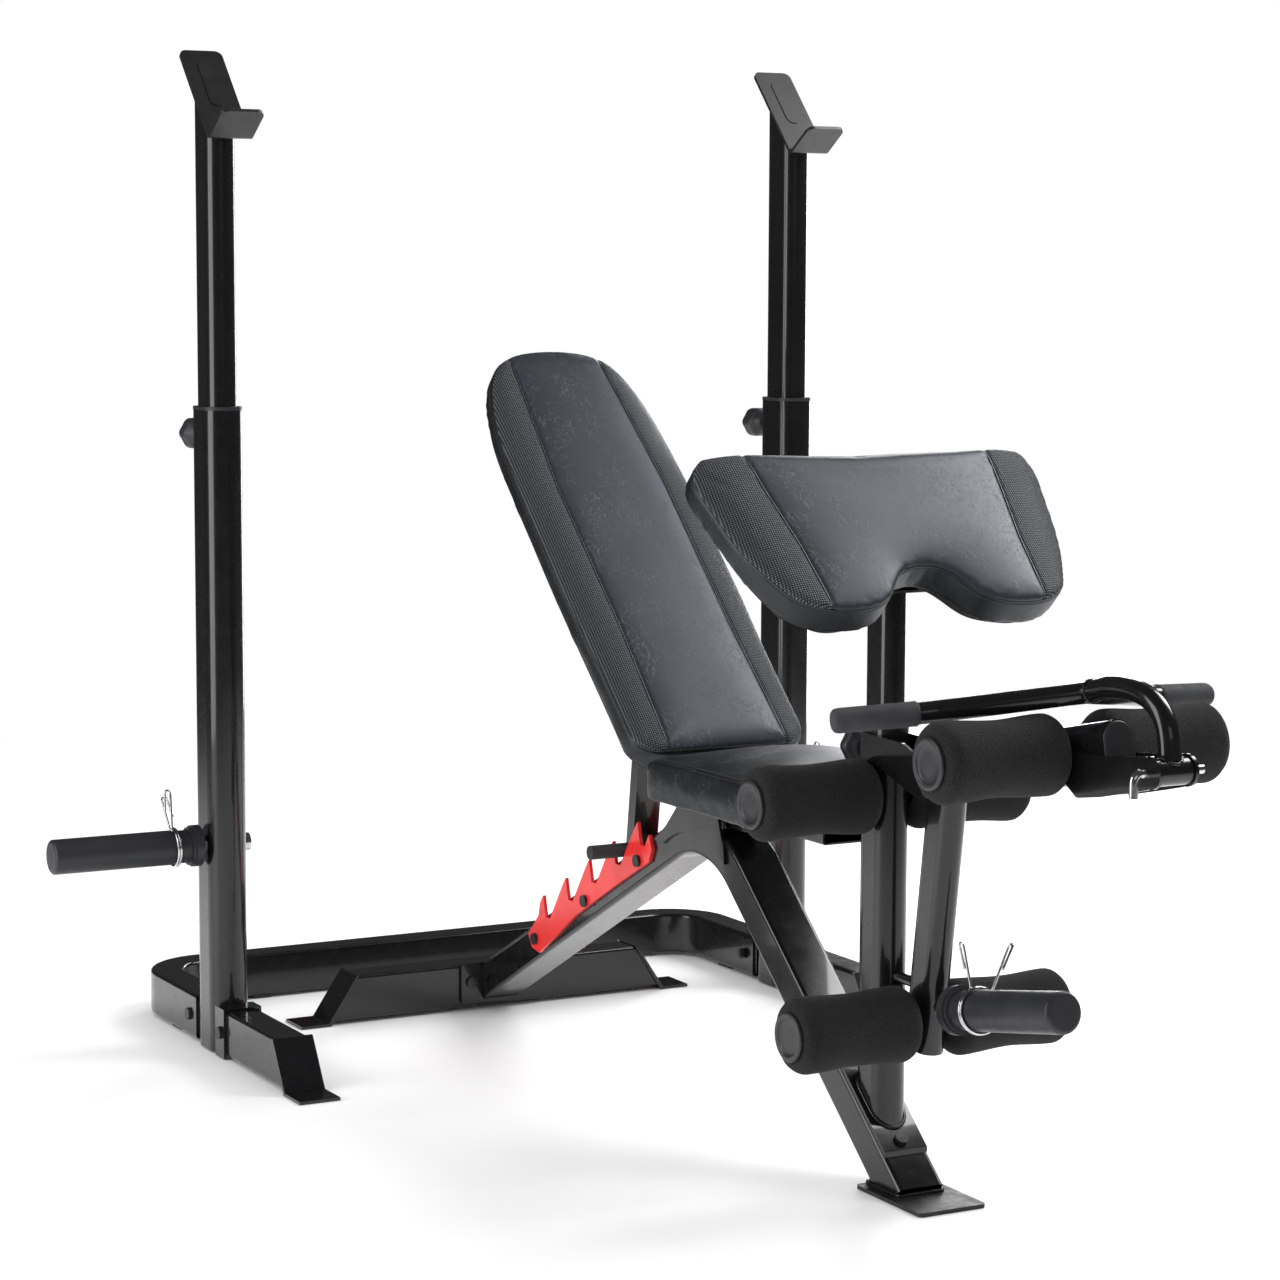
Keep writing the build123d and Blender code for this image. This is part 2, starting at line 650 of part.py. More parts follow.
# ---------------------------------------------------------------- leg post and head bracket
with BuildPart() as leg_post:
    with BuildSketch(Plane(origin=(0, post_y, 40))):
        oval(post_w, post_d, post_wall)
    extrude(amount=post_top - 40)
    lift = 5.1 / cos(radians(frame_slope))
    y0, y1 = post_y - 90, post_y + 90
    foot_cut = [(y0, leg_surface(y0) + lift - 0.5), (y1, leg_surface(y1) + lift - 0.5)]
    foot_cut += [(y1, -200), (y0, -200)]
    side_prism(foot_cut, -60, 60, mode=Mode.SUBTRACT)
    plate_y0, plate_y1 = -330, -450
    gap = 0.1
    plate = [(plate_y0, leg_surface(plate_y0) + gap), (plate_y1, leg_surface(plate_y1) + gap)]
    plate += [(plate_y1, leg_surface(plate_y1) + lift), (plate_y0, leg_surface(plate_y0) + lift)]
    side_prism(plate, -31, 31)
    drill_x(axle_r, *knee_axle)
    with Locations((0, post_y + post_d / 2 + 4, post_knob_z)):
        Cylinder(9.5, 12, rotation=(90, 0, 0))
    with Locations((0, post_y + post_d / 2, post_knob_z)):
        Cylinder(pin_hole_r, 26, rotation=(90, 0, 0), mode=Mode.SUBTRACT)

with BuildPart() as post_bushing:
    post_spot = (0, post_y)
    with BuildSketch(Plane.XY.offset(post_top - 14)):
        with Locations(post_spot):
            SlotOverall(post_d - 2 * post_wall - 0.2, post_w - 2 * post_wall - 0.2, rotation=90)
    extrude(amount=14)
    with BuildSketch(Plane.XY.offset(post_top)):
        with Locations(post_spot):
            SlotOverall(post_d + 1, post_w + 1, rotation=90)
    extrude(amount=4)
    with BuildSketch(Plane.XY.offset(post_top - 14)):
        with Locations(post_spot):
            SlotOverall(curl_post_d + 2 * slide_gap, curl_post_w + 2 * slide_gap, rotation=90)
    extrude(amount=18, mode=Mode.SUBTRACT)

with BuildPart() as head_bracket:
    for s in SIDES:
        skin = s * (post_w / 2 + 0.05)
        head = [(-376, 565), (-376, 532), (-425, 524), (-520, 494), (-552, 500), (-556, 520), (-540, 540)]
        head += [(-470, 562)]
        low = skin if s > 0 else skin - 4
        rounded_prism(head, 9, low, low + 4)
    drill_x(6.05, *leg_pivot)

with BuildPart() as knee_axle_tube:
    rod_x(axle_r, -foam_out, foam_out, *knee_axle)

with BuildPart() as knee_axle_caps:
    for s in SIDES:
        with BuildSketch(Plane(origin=(s * (foam_out + 0.4), *knee_axle), z_dir=(s, 0, 0))):
            Circle(30)
        extrude(amount=5)
        with BuildSketch(Plane(origin=(s * foam_out, *knee_axle), z_dir=(s, 0, 0))):
            Circle(12)
        extrude(amount=1)


# ---------------------------------------------------------------- arm-curl pad
curl_c, curl_s = cos(radians(curl_slope)), sin(radians(curl_slope))
curl_plane = Plane(
    origin=(0, curl_face[0], curl_face[1]),
    x_dir=(-1, 0, 0),
    z_dir=(0, -curl_s, curl_c),
)


def curl_point(s, n):
    """Side view point from distance s down the face and depth n behind it."""
    y = curl_face[0] - s * curl_c + n * curl_s
    z = curl_face[1] - s * curl_s - n * curl_c
    return (y, z)


def curl_outline(inset, top):
    """Arm-curl pad outline: wide at the top, waisted, with a central notch below."""
    k = inset
    with BuildLine() as edge_line:
        right = [(232 - k, top), (246 - k, top + 22), (242 - k, 70), (231 - k, 130), (199 - k, 211)]
        right += [(178 - k, 236 - k), (146, 247 - k), (106, 247 - k)]
        right += [(66, 232 - k), (43, 204 - k), (0, 185 - k)]
        left = [(-x, s) for x, s in reversed(right[:-1])]
        Spline(*right[:5])
        Spline(*right[4:11])
        Spline((0, 185 - k), *left[:6])
        Spline(*left[5:])
        Line(left[-1], right[0])
    make_face(edge_line.edges())


with BuildPart() as preacher_pad:
    with BuildSketch(curl_plane.offset(-50)):
        curl_outline(0, 0)
    extrude(amount=50)
    with BuildSketch(Plane.YZ.offset(-228)):
        with Locations(curl_point(34, 32)):
            Circle(33)
    extrude(amount=456)

with BuildPart() as preacher_board:
    with BuildSketch(curl_plane.offset(-60)):
        curl_outline(12, 0)
        with Locations((0, 0)):
            Rectangle(600, 2 * board_top, mode=Mode.SUBTRACT)
    extrude(amount=9.9)

with BuildPart() as preacher_post:
    with BuildSketch(Plane(origin=(0, post_y, curl_post_bottom))):
        oval(curl_post_w, curl_post_d, 2.0)
    extrude(amount=520)
    back_a, back_b = curl_point(-120, 62), curl_point(400, 62)
    side_prism([back_a, back_b, (back_b[0], 1100), (back_a[0], 1100)], -60, 60, mode=Mode.SUBTRACT)
    bracket_side = [curl_point(90, 60.2), curl_point(178, 60.2), curl_point(178, 65.2), curl_point(90, 65.2)]
    side_prism(bracket_side, -50, 50)
    with Locations((0, knee_axle[0], curl_post_bottom + axle_slot / 2 - 3)):
        Box(60, 28, axle_slot, mode=Mode.SUBTRACT)


# ---------------------------------------------------------------- leg developer
leg_uy, leg_uz = sin(radians(leg_tilt)), -cos(radians(leg_tilt))
ankle_axle = (leg_pivot[0] + leg_uy * ankle_drop, leg_pivot[1] + leg_uz * ankle_drop)
arm_uy, arm_uz = -cos(radians(arm_rise)), sin(radians(arm_rise))
arm_len = (arm_start[0] - arm_end_y) / -arm_uy

with BuildPart() as leg_developer_arm:
    leg_top = Plane(
        origin=(0, leg_pivot[0] - leg_uy * 20, leg_pivot[1] - leg_uz * 20),
        x_dir=(1, 0, 0),
        z_dir=(0, leg_uy, leg_uz),
    )
    with BuildSketch(leg_top):
        SlotOverall(57, 35, rotation=90)
    extrude(amount=leg_len + 20)
    with BuildSketch(leg_top):
        SlotOverall(52, 30, rotation=90)
    extrude(amount=leg_len + 12, mode=Mode.SUBTRACT)
    arm_plane = Plane(
        origin=(0, arm_start[0], arm_start[1]),
        x_dir=(1, 0, 0),
        z_dir=(0, arm_uy, arm_uz),
    )
    with BuildSketch(arm_plane.offset(22)):
        SlotOverall(68, 44, rotation=90)
    extrude(amount=arm_len - 22)
    with BuildSketch(arm_plane.offset(26)):
        SlotOverall(62, 38, rotation=90)
    extrude(amount=arm_len - 32, mode=Mode.SUBTRACT)
    rod_x(20, -22, 22, *leg_pivot)
    drill_x(6.05, *leg_pivot)
    drill_x(axle_r, *thigh_axle)
    drill_x(axle_r, *ankle_axle)
    stop_z = 265.0
    stop_tip = post_y - post_d / 2 - 0.4
    with BuildSketch(Plane(origin=(0, -472, stop_z), z_dir=(0, 1, 0))):
        Circle(7)
    extrude(amount=stop_tip + 472)

with BuildPart() as curl_yoke:
    for s in SIDES:
        skin = s * 22.05
        low = skin if s > 0 else skin - 4
        yoke = [(-802, 560), (-802, 598), (-872, 600), (-930, 606), (-958, 610)]
        yoke += [(-958, 574), (-925, 566), (-868, 553), (-825, 546)]
        rounded_prism(yoke, 8, low, low + 4)
        rod_x(18, low, low + 4, *curl_pivot)
    drill_x(curl_bore, *curl_pivot)

with BuildPart() as thigh_axle_tube:
    rod_x(axle_r, -foam_out, foam_out, *thigh_axle)

with BuildPart() as ankle_axle_tube:
    rod_x(axle_r, -foam_out, foam_out, *ankle_axle)


def make_axle_caps(spot):
    with BuildPart() as caps:
        for s in SIDES:
            with BuildSketch(Plane(origin=(s * (foam_out + 0.4), *spot), z_dir=(s, 0, 0))):
                Circle(30)
            extrude(amount=5)
            with BuildSketch(Plane(origin=(s * foam_out, *spot), z_dir=(s, 0, 0))):
                Circle(12)
            extrude(amount=1)
    return caps


thigh_axle_caps = make_axle_caps(thigh_axle)
ankle_axle_caps = make_axle_caps(ankle_axle)

leg_rod_way = (0, -cos(radians(peg_tilt)), sin(radians(peg_tilt)))
leg_rod_up = (0, sin(radians(peg_tilt)), cos(radians(peg_tilt)))
leg_rod_plane = Plane(origin=(0, *leg_rod_start), x_dir=(1, 0, 0), z_dir=leg_rod_way)

with BuildPart() as leg_plate_rod:
    with BuildSketch(leg_rod_plane.offset(-32)):
        Circle(rod_r)
    extrude(amount=32 + leg_sleeve_len - 8)
    with BuildSketch(leg_rod_plane.offset(-32)):
        RegularPolygon(13, 6)
    extrude(amount=9)

with BuildPart() as leg_plate_sleeve:
    with BuildSketch(leg_rod_plane):
        Circle(clip_seat_r)
    extrude(amount=clip_seat_len)
    with BuildSketch(leg_rod_plane.offset(clip_seat_len)):
        Circle(sleeve_r)
    extrude(amount=leg_sleeve_len - clip_seat_len)
    tip_axis = Axis((0, 0, 0), leg_rod_way)
    fillet(leg_plate_sleeve.edges().filter_by(GeomType.CIRCLE).sort_by(tip_axis)[-1], 5)
    with BuildSketch(leg_rod_plane):
        Circle(collar_r)
    extrude(amount=collar_len)
    with BuildSketch(leg_rod_plane.offset(collar_len)):
        Circle(collar_r - 2.5)
    extrude(amount=5)
    with BuildSketch(leg_rod_plane):
        Circle(rod_hole_r)
    extrude(amount=leg_sleeve_len - 8, mode=Mode.SUBTRACT)

front_spring_clip = make_clip(leg_rod_plane.offset(36).origin, leg_rod_way, leg_rod_up, 0)


# ---------------------------------------------------------------- curl bar
with BuildPart() as curl_bar:
    py, pz0 = curl_pivot
    stem = [(0, py, pz0 + 12), (0, py + 8, 642), (0, py + 40, 668), (0, -850, 672), (0, -803, 660)]
    with BuildLine() as stem_line:
        Spline(*stem, tangents=((0, 0.1, 1), (0, 1, -0.25)))
    stem_wire = stem_line.wires()[0]
    with BuildSketch(Plane(origin=stem_wire @ 0, z_dir=stem_wire % 0)):
        Circle(curl_tube_r)
    sweep(path=stem_wire)
    for s in SIDES:
        with BuildLine() as branch_line:
            branch_points = [(0, -803, 660), (s * 150, -719, 637), (s * 252, -690, 630)]
            FilletPolyline(*branch_points, radius=60)
        branch = branch_line.wires()[0]
        with BuildSketch(Plane(origin=branch @ 0, z_dir=branch % 0)):
            Circle(curl_tube_r)
        sweep(path=branch)
    with Locations((0, -803, 660)):
        Sphere(curl_tube_r)
    rod_x(sleeve_outer, -21.6, 21.6, *curl_pivot)
    drill_x(curl_bore, *curl_pivot)

with BuildPart() as curl_grips:
    for s in SIDES:
        inner = Vector(s * 164, -715, 636.0)
        outer = Vector(s * 252, -690, 630)
        way = (outer - inner).normalized()
        with BuildSketch(Plane(origin=inner, z_dir=way)):
            Circle(grip_r)
        extrude(amount=(outer - inner).length + 6)
        with BuildSketch(Plane(origin=inner - way * 5, z_dir=way)):
            Circle(curl_tube_r + 0.05)
        extrude(amount=(outer - inner).length + 5.2, mode=Mode.SUBTRACT)

with BuildPart() as curl_pin:
    rod_x(curl_pin_r, -38, 44, *curl_pivot)
    with BuildLine(Plane.XZ.offset(-curl_pivot[0])) as pin_bend:
        Line((-38, curl_pivot[1]), (-39, curl_pivot[1]))
        JernArc(start=(-39, curl_pivot[1]), tangent=(-1, 0), radius=9, arc_size=90)
        Line((-48, curl_pivot[1] - 9), (-48, curl_pivot[1] - 26))
    bend_wire = pin_bend.wires()[0]
    with BuildSketch(Plane(origin=bend_wire @ 0, z_dir=bend_wire % 0)):
        Circle(curl_pin_r)
    sweep(path=bend_wire)


# ---------------------------------------------------------------- foam rollers
def make_foam(side, spot):
    """Foam roller: slightly waisted, round-shouldered, free to spin on its axle."""
    x0, x1 = side * foam_in, side * foam_out
    mid = (x0 + x1) / 2
    with BuildPart() as foam:
        with BuildSketch(Plane(origin=(0, *spot), x_dir=(1, 0, 0), z_dir=(0, 0, 1))):
            with BuildLine():
                Line((x0, foam_bore), (x0, foam_r - 14))
                ThreePointArc((x0, foam_r - 14), (x0 + side * 4.1, foam_r - 4.1), (x0 + side * 14, foam_r))
                ThreePointArc((x0 + side * 14, foam_r), (mid, foam_waist), (x1 - side * 14, foam_r))
                ThreePointArc((x1 - side * 14, foam_r), (x1 - side * 4.1, foam_r - 4.1), (x1, foam_r - 14))
                Line((x1, foam_r - 14), (x1, foam_bore))
                Line((x1, foam_bore), (x0, foam_bore))
            make_face()
        revolve(axis=Axis((0, *spot), (1, 0, 0)))
    return foam


left_knee_foam = make_foam(-1, knee_axle)
right_knee_foam = make_foam(1, knee_axle)
left_thigh_foam = make_foam(-1, thigh_axle)
right_thigh_foam = make_foam(1, thigh_axle)
left_ankle_foam = make_foam(-1, ankle_axle)
right_ankle_foam = make_foam(1, ankle_axle)


# ---------------------------------------------------------------- labels and STEP files
rear_base.part.label = "rear_base"
export_step(rear_base.part, "parts/rear_base.step")
base_pads.part.label = "base_pads"
export_step(base_pads.part, "parts/base_pads.step")
left_front_foot.part.label = "left_front_foot"
export_step(left_front_foot.part, "parts/left_front_foot.step")
right_front_foot.part.label = "right_front_foot"
export_step(right_front_foot.part, "parts/right_front_foot.step")
left_upright.part.label = "left_upright"
export_step(left_upright.part, "parts/left_upright.step")
right_upright.part.label = "right_upright"
export_step(right_upright.part, "parts/right_upright.step")
upright_bushings.part.label = "upright_bushings"
export_step(upright_bushings.part, "parts/upright_bushings.step")
rack_bolts.part.label = "rack_bolts"
export_step(rack_bolts.part, "parts/rack_bolts.step")
plate_rods.part.label = "plate_rods"
export_step(plate_rods.part, "parts/plate_rods.step")
left_plate_sleeve.part.label = "left_plate_sleeve"
export_step(left_plate_sleeve.part, "parts/left_plate_sleeve.step")
right_plate_sleeve.part.label = "right_plate_sleeve"
export_step(right_plate_sleeve.part, "parts/right_plate_sleeve.step")
left_spring_clip.part.label = "left_spring_clip"
export_step(left_spring_clip.part, "parts/left_spring_clip.step")
right_spring_clip.part.label = "right_spring_clip"
export_step(right_spring_clip.part, "parts/right_spring_clip.step")
left_rack_knob.part.label = "left_rack_knob"
export_step(left_rack_knob.part, "parts/left_rack_knob.step")
right_rack_knob.part.label = "right_rack_knob"
export_step(right_rack_knob.part, "parts/right_rack_knob.step")
post_knob.part.label = "post_knob"
export_step(post_knob.part, "parts/post_knob.step")
left_riser.part.label = "left_riser"
export_step(left_riser.part, "parts/left_riser.step")
right_riser.part.label = "right_riser"
export_step(right_riser.part, "parts/right_riser.step")
left_bar_hook.part.label = "left_bar_hook"
export_step(left_bar_hook.part, "parts/left_bar_hook.step")
right_bar_hook.part.label = "right_bar_hook"
export_step(right_bar_hook.part, "parts/right_bar_hook.step")
rear_stabilizer.part.label = "rear_stabilizer"
export_step(rear_stabilizer.part, "parts/rear_stabilizer.step")
main_frame.part.label = "main_frame"
export_step(main_frame.part, "parts/main_frame.step")
front_foot_plate.part.label = "front_foot_plate"
export_step(front_foot_plate.part, "parts/front_foot_plate.step")
frame_gussets.part.label = "frame_gussets"
export_step(frame_gussets.part, "parts/frame_gussets.step")
ladder_plates.part.label = "ladder_plates"
export_step(ladder_plates.part, "parts/ladder_plates.step")
bench_bolts.part.label = "bench_bolts"
export_step(bench_bolts.part, "parts/bench_bolts.step")
seat_bracket.part.label = "seat_bracket"
export_step(seat_bracket.part, "parts/seat_bracket.step")
seat_pad.part.label = "seat_pad"
export_step(seat_pad.part, "parts/seat_pad.step")
backrest_pad.part.label = "backrest_pad"
export_step(backrest_pad.part, "parts/backrest_pad.step")
backrest_board.part.label = "backrest_board"
export_step(backrest_board.part, "parts/backrest_board.step")
backrest_frame.part.label = "backrest_frame"
export_step(backrest_frame.part, "parts/backrest_frame.step")
prop_tube.part.label = "prop_tube"
export_step(prop_tube.part, "parts/prop_tube.step")
prop_crossbar.part.label = "prop_crossbar"
export_step(prop_crossbar.part, "parts/prop_crossbar.step")
pivot_bolts.part.label = "pivot_bolts"
export_step(pivot_bolts.part, "parts/pivot_bolts.step")
leg_post.part.label = "leg_post"
export_step(leg_post.part, "parts/leg_post.step")
post_bushing.part.label = "post_bushing"
export_step(post_bushing.part, "parts/post_bushing.step")
head_bracket.part.label = "head_bracket"
export_step(head_bracket.part, "parts/head_bracket.step")
knee_axle_tube.part.label = "knee_axle_tube"
export_step(knee_axle_tube.part, "parts/knee_axle_tube.step")
knee_axle_caps.part.label = "knee_axle_caps"
export_step(knee_axle_caps.part, "parts/knee_axle_caps.step")
preacher_pad.part.label = "preacher_pad"
export_step(preacher_pad.part, "parts/preacher_pad.step")
preacher_board.part.label = "preacher_board"
export_step(preacher_board.part, "parts/preacher_board.step")
preacher_post.part.label = "preacher_post"
export_step(preacher_post.part, "parts/preacher_post.step")
leg_developer_arm.part.label = "leg_developer_arm"
export_step(leg_developer_arm.part, "parts/leg_developer_arm.step")
curl_yoke.part.label = "curl_yoke"
export_step(curl_yoke.part, "parts/curl_yoke.step")
thigh_axle_tube.part.label = "thigh_axle_tube"
export_step(thigh_axle_tube.part, "parts/thigh_axle_tube.step")
ankle_axle_tube.part.label = "ankle_axle_tube"
export_step(ankle_axle_tube.part, "parts/ankle_axle_tube.step")
thigh_axle_caps.part.label = "thigh_axle_caps"
export_step(thigh_axle_caps.part, "parts/thigh_axle_caps.step")
ankle_axle_caps.part.label = "ankle_axle_caps"
export_step(ankle_axle_caps.part, "parts/ankle_axle_caps.step")
leg_plate_rod.part.label = "leg_plate_rod"
export_step(leg_plate_rod.part, "parts/leg_plate_rod.step")
leg_plate_sleeve.part.label = "leg_plate_sleeve"
export_step(leg_plate_sleeve.part, "parts/leg_plate_sleeve.step")
front_spring_clip.part.label = "front_spring_clip"
export_step(front_spring_clip.part, "parts/front_spring_clip.step")
curl_bar.part.label = "curl_bar"
export_step(curl_bar.part, "parts/curl_bar.step")
curl_grips.part.label = "curl_grips"
export_step(curl_grips.part, "parts/curl_grips.step")
curl_pin.part.label = "curl_pin"
export_step(curl_pin.part, "parts/curl_pin.step")
left_knee_foam.part.label = "left_knee_foam"
export_step(left_knee_foam.part, "parts/left_knee_foam.step")
right_knee_foam.part.label = "right_knee_foam"
export_step(right_knee_foam.part, "parts/right_knee_foam.step")
left_thigh_foam.part.label = "left_thigh_foam"
export_step(left_thigh_foam.part, "parts/left_thigh_foam.step")
right_thigh_foam.part.label = "right_thigh_foam"
export_step(right_thigh_foam.part, "parts/right_thigh_foam.step")
left_ankle_foam.part.label = "left_ankle_foam"
export_step(left_ankle_foam.part, "parts/left_ankle_foam.step")
right_ankle_foam.part.label = "right_ankle_foam"
export_step(right_ankle_foam.part, "parts/right_ankle_foam.step")
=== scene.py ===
"""Looks for an olympic weight bench with its bar rack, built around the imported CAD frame."""

import json
import math

import bmesh
import bpy
import numpy as np
from mathutils import Matrix, Vector, noise


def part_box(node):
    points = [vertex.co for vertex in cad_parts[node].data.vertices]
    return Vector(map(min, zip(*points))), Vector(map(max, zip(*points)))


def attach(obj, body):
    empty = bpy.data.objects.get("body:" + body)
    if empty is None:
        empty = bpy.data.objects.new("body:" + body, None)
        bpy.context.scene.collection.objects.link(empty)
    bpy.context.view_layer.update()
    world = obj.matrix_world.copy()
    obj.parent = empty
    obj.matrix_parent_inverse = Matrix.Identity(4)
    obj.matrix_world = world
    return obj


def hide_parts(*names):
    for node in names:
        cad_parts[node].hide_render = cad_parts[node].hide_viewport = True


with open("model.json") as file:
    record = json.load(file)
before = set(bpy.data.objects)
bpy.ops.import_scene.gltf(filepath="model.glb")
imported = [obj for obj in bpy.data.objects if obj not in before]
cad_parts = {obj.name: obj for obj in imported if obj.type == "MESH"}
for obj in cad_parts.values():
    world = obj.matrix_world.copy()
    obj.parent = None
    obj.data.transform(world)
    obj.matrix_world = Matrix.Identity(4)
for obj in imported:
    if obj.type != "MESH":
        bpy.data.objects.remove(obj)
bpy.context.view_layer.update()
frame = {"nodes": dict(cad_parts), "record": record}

NODES = frame["nodes"]
BODY_OF = {}
for body_name, members in frame["record"]["behaviour"]["bodies"].items():
    for member in members:
        BODY_OF[member] = body_name
SLOT_OF = {row["node"]: row["material_slot"] for row in frame["record"]["subparts"]}
SIDES = (-1, 1)
MIX_FLOAT_A, MIX_FLOAT_B, MIX_COLOUR_A, MIX_COLOUR_B, MIX_COLOUR_OUT = 2, 3, 6, 7, 2


def circle(count):
    """Evenly spaced angles once round."""
    return [math.tau * k / count for k in range(count)]


# ---------------------------------------------------------------- camera, light and floor
def make_camera():
    """Long lens from the left of the leg-developer end, slightly above the seat."""
    spot = (-2.1413, -3.7301, 1.1152)
    yaw, pitch, roll = (math.radians(a) for a in (28.30, 6.319, 0.2128))
    ahead = Vector((math.sin(yaw) * math.cos(pitch), math.cos(yaw) * math.cos(pitch), -math.sin(pitch)))
    level = Vector((math.cos(yaw), -math.sin(yaw), 0))
    upright = level.cross(ahead)
    right = level * math.cos(roll) + upright * math.sin(roll)
    up = upright * math.cos(roll) - level * math.sin(roll)
    data = bpy.data.cameras.new("camera")
    data.sensor_width = 36
    data.lens = 91.2
    data.clip_end = 100
    camera = bpy.data.objects.new("camera", data)
    bpy.context.scene.collection.objects.link(camera)
    turn = Matrix((right, up, -ahead)).transposed().to_4x4()
    camera.matrix_world = Matrix.Translation(spot) @ turn
    bpy.context.scene.camera = camera
    bpy.context.scene.view_settings.view_transform = "Standard"


def area_light(name, bearing, height, distance, size, power):
    """A softbox of size (width, height) facing the object; its bearing is measured from -Y towards +X."""
    data = bpy.data.lights.new(name, "AREA")
    data.shape = "RECTANGLE"
    data.size, data.size_y = size
    data.energy = power
    lamp = bpy.data.objects.new(name, data)
    bpy.context.scene.collection.objects.link(lamp)
    angle = math.radians(bearing)
    lamp.location = (distance * math.sin(angle), -distance * math.cos(angle), height)
    lamp.rotation_mode = "QUATERNION"
    aim = Vector((0, 0, 0.6))
    lamp.rotation_quaternion = (aim - lamp.location).to_track_quat("-Z", "Y")
    lamp.visible_camera = False


def make_lights():
    """Soft light from above and both sides, and an even white room that gloss hardly reflects."""
    area_light("overhead_softbox", bearing=84, height=3.3, distance=2.8, size=(1.9, 1.9), power=118)
    area_light("left_strip", bearing=-98, height=1.5, distance=3.8, size=(2.1, 3.2), power=84)
    area_light("rear_rim_strip", bearing=138, height=1.5, distance=4.0, size=(0.8, 3.2), power=60)
    area_light("front_fill", bearing=-10, height=2.4, distance=5.4, size=(2.4, 1.4), power=10)
    room_light, room_reflection, backdrop = 1.05, 0.05, 1.0
    world = bpy.data.worlds.new("studio")
    world.use_nodes = True
    bpy.context.scene.world = world
    tree = world.node_tree
    background = tree.nodes["Background"]
    path = tree.nodes.new("ShaderNodeLightPath")
    lit, seen = (tree.nodes.new("ShaderNodeMix") for _ in range(2))
    lit.inputs[MIX_FLOAT_A].default_value = room_light
    lit.inputs[MIX_FLOAT_B].default_value = room_reflection
    seen.inputs[MIX_FLOAT_B].default_value = backdrop
    tree.links.new(path.outputs["Is Glossy Ray"], lit.inputs[0])
    tree.links.new(path.outputs["Is Camera Ray"], seen.inputs[0])
    tree.links.new(lit.outputs[0], seen.inputs[MIX_FLOAT_A])
    tree.links.new(seen.outputs[0], background.inputs["Strength"])
    background.inputs["Color"].default_value = (1, 1, 1, 1)


def make_floor():
    """A round pale floor that fades out into the background well away from the object."""
    rings, spokes, reach, level = 40, 96, 7.0, -0.0005
    fade_start, fade_end = 1.5, 4.5
    mesh = bmesh.new()
    centre = mesh.verts.new((0, 0, level))
    previous = []
    for ring in range(1, rings + 1):
        radius = reach * ring / rings
        row = [mesh.verts.new((radius * math.cos(a), radius * math.sin(a), level)) for a in circle(spokes)]
        for k in range(spokes):
            after = (k + 1) % spokes
            if previous:
                mesh.faces.new((previous[k], row[k], row[after], previous[after]))
            else:
                mesh.faces.new((centre, row[k], row[after]))
        previous = row
    floor = new_piece("studio_floor", mesh)
    paint = Paint("studio_floor_paint", roughness=0.55)
    paint.tones(scale=3.0, low=(0.84, 0.84, 0.84), high=(0.87, 0.87, 0.87))
    place = paint.add("TexCoord").outputs["Object"]
    length = paint.add("VectorMath", operation="LENGTH")
    paint.join(place, length.inputs[0])
    fade = paint.span(length.outputs["Value"], fade_start, fade_end, 0.0, 1.0, "SMOOTHSTEP")
    clear = paint.add("BsdfTransparent")
    mix = paint.add("MixShader")
    out = paint.tree.nodes["Material Output"]
    paint.join(fade, mix.inputs[0])
    paint.join(paint.shader.outputs[0], mix.inputs[1])
    paint.join(clear.outputs[0], mix.inputs[2])
    paint.join(mix.outputs[0], out.inputs["Surface"])
    floor.data.materials.append(paint.material)


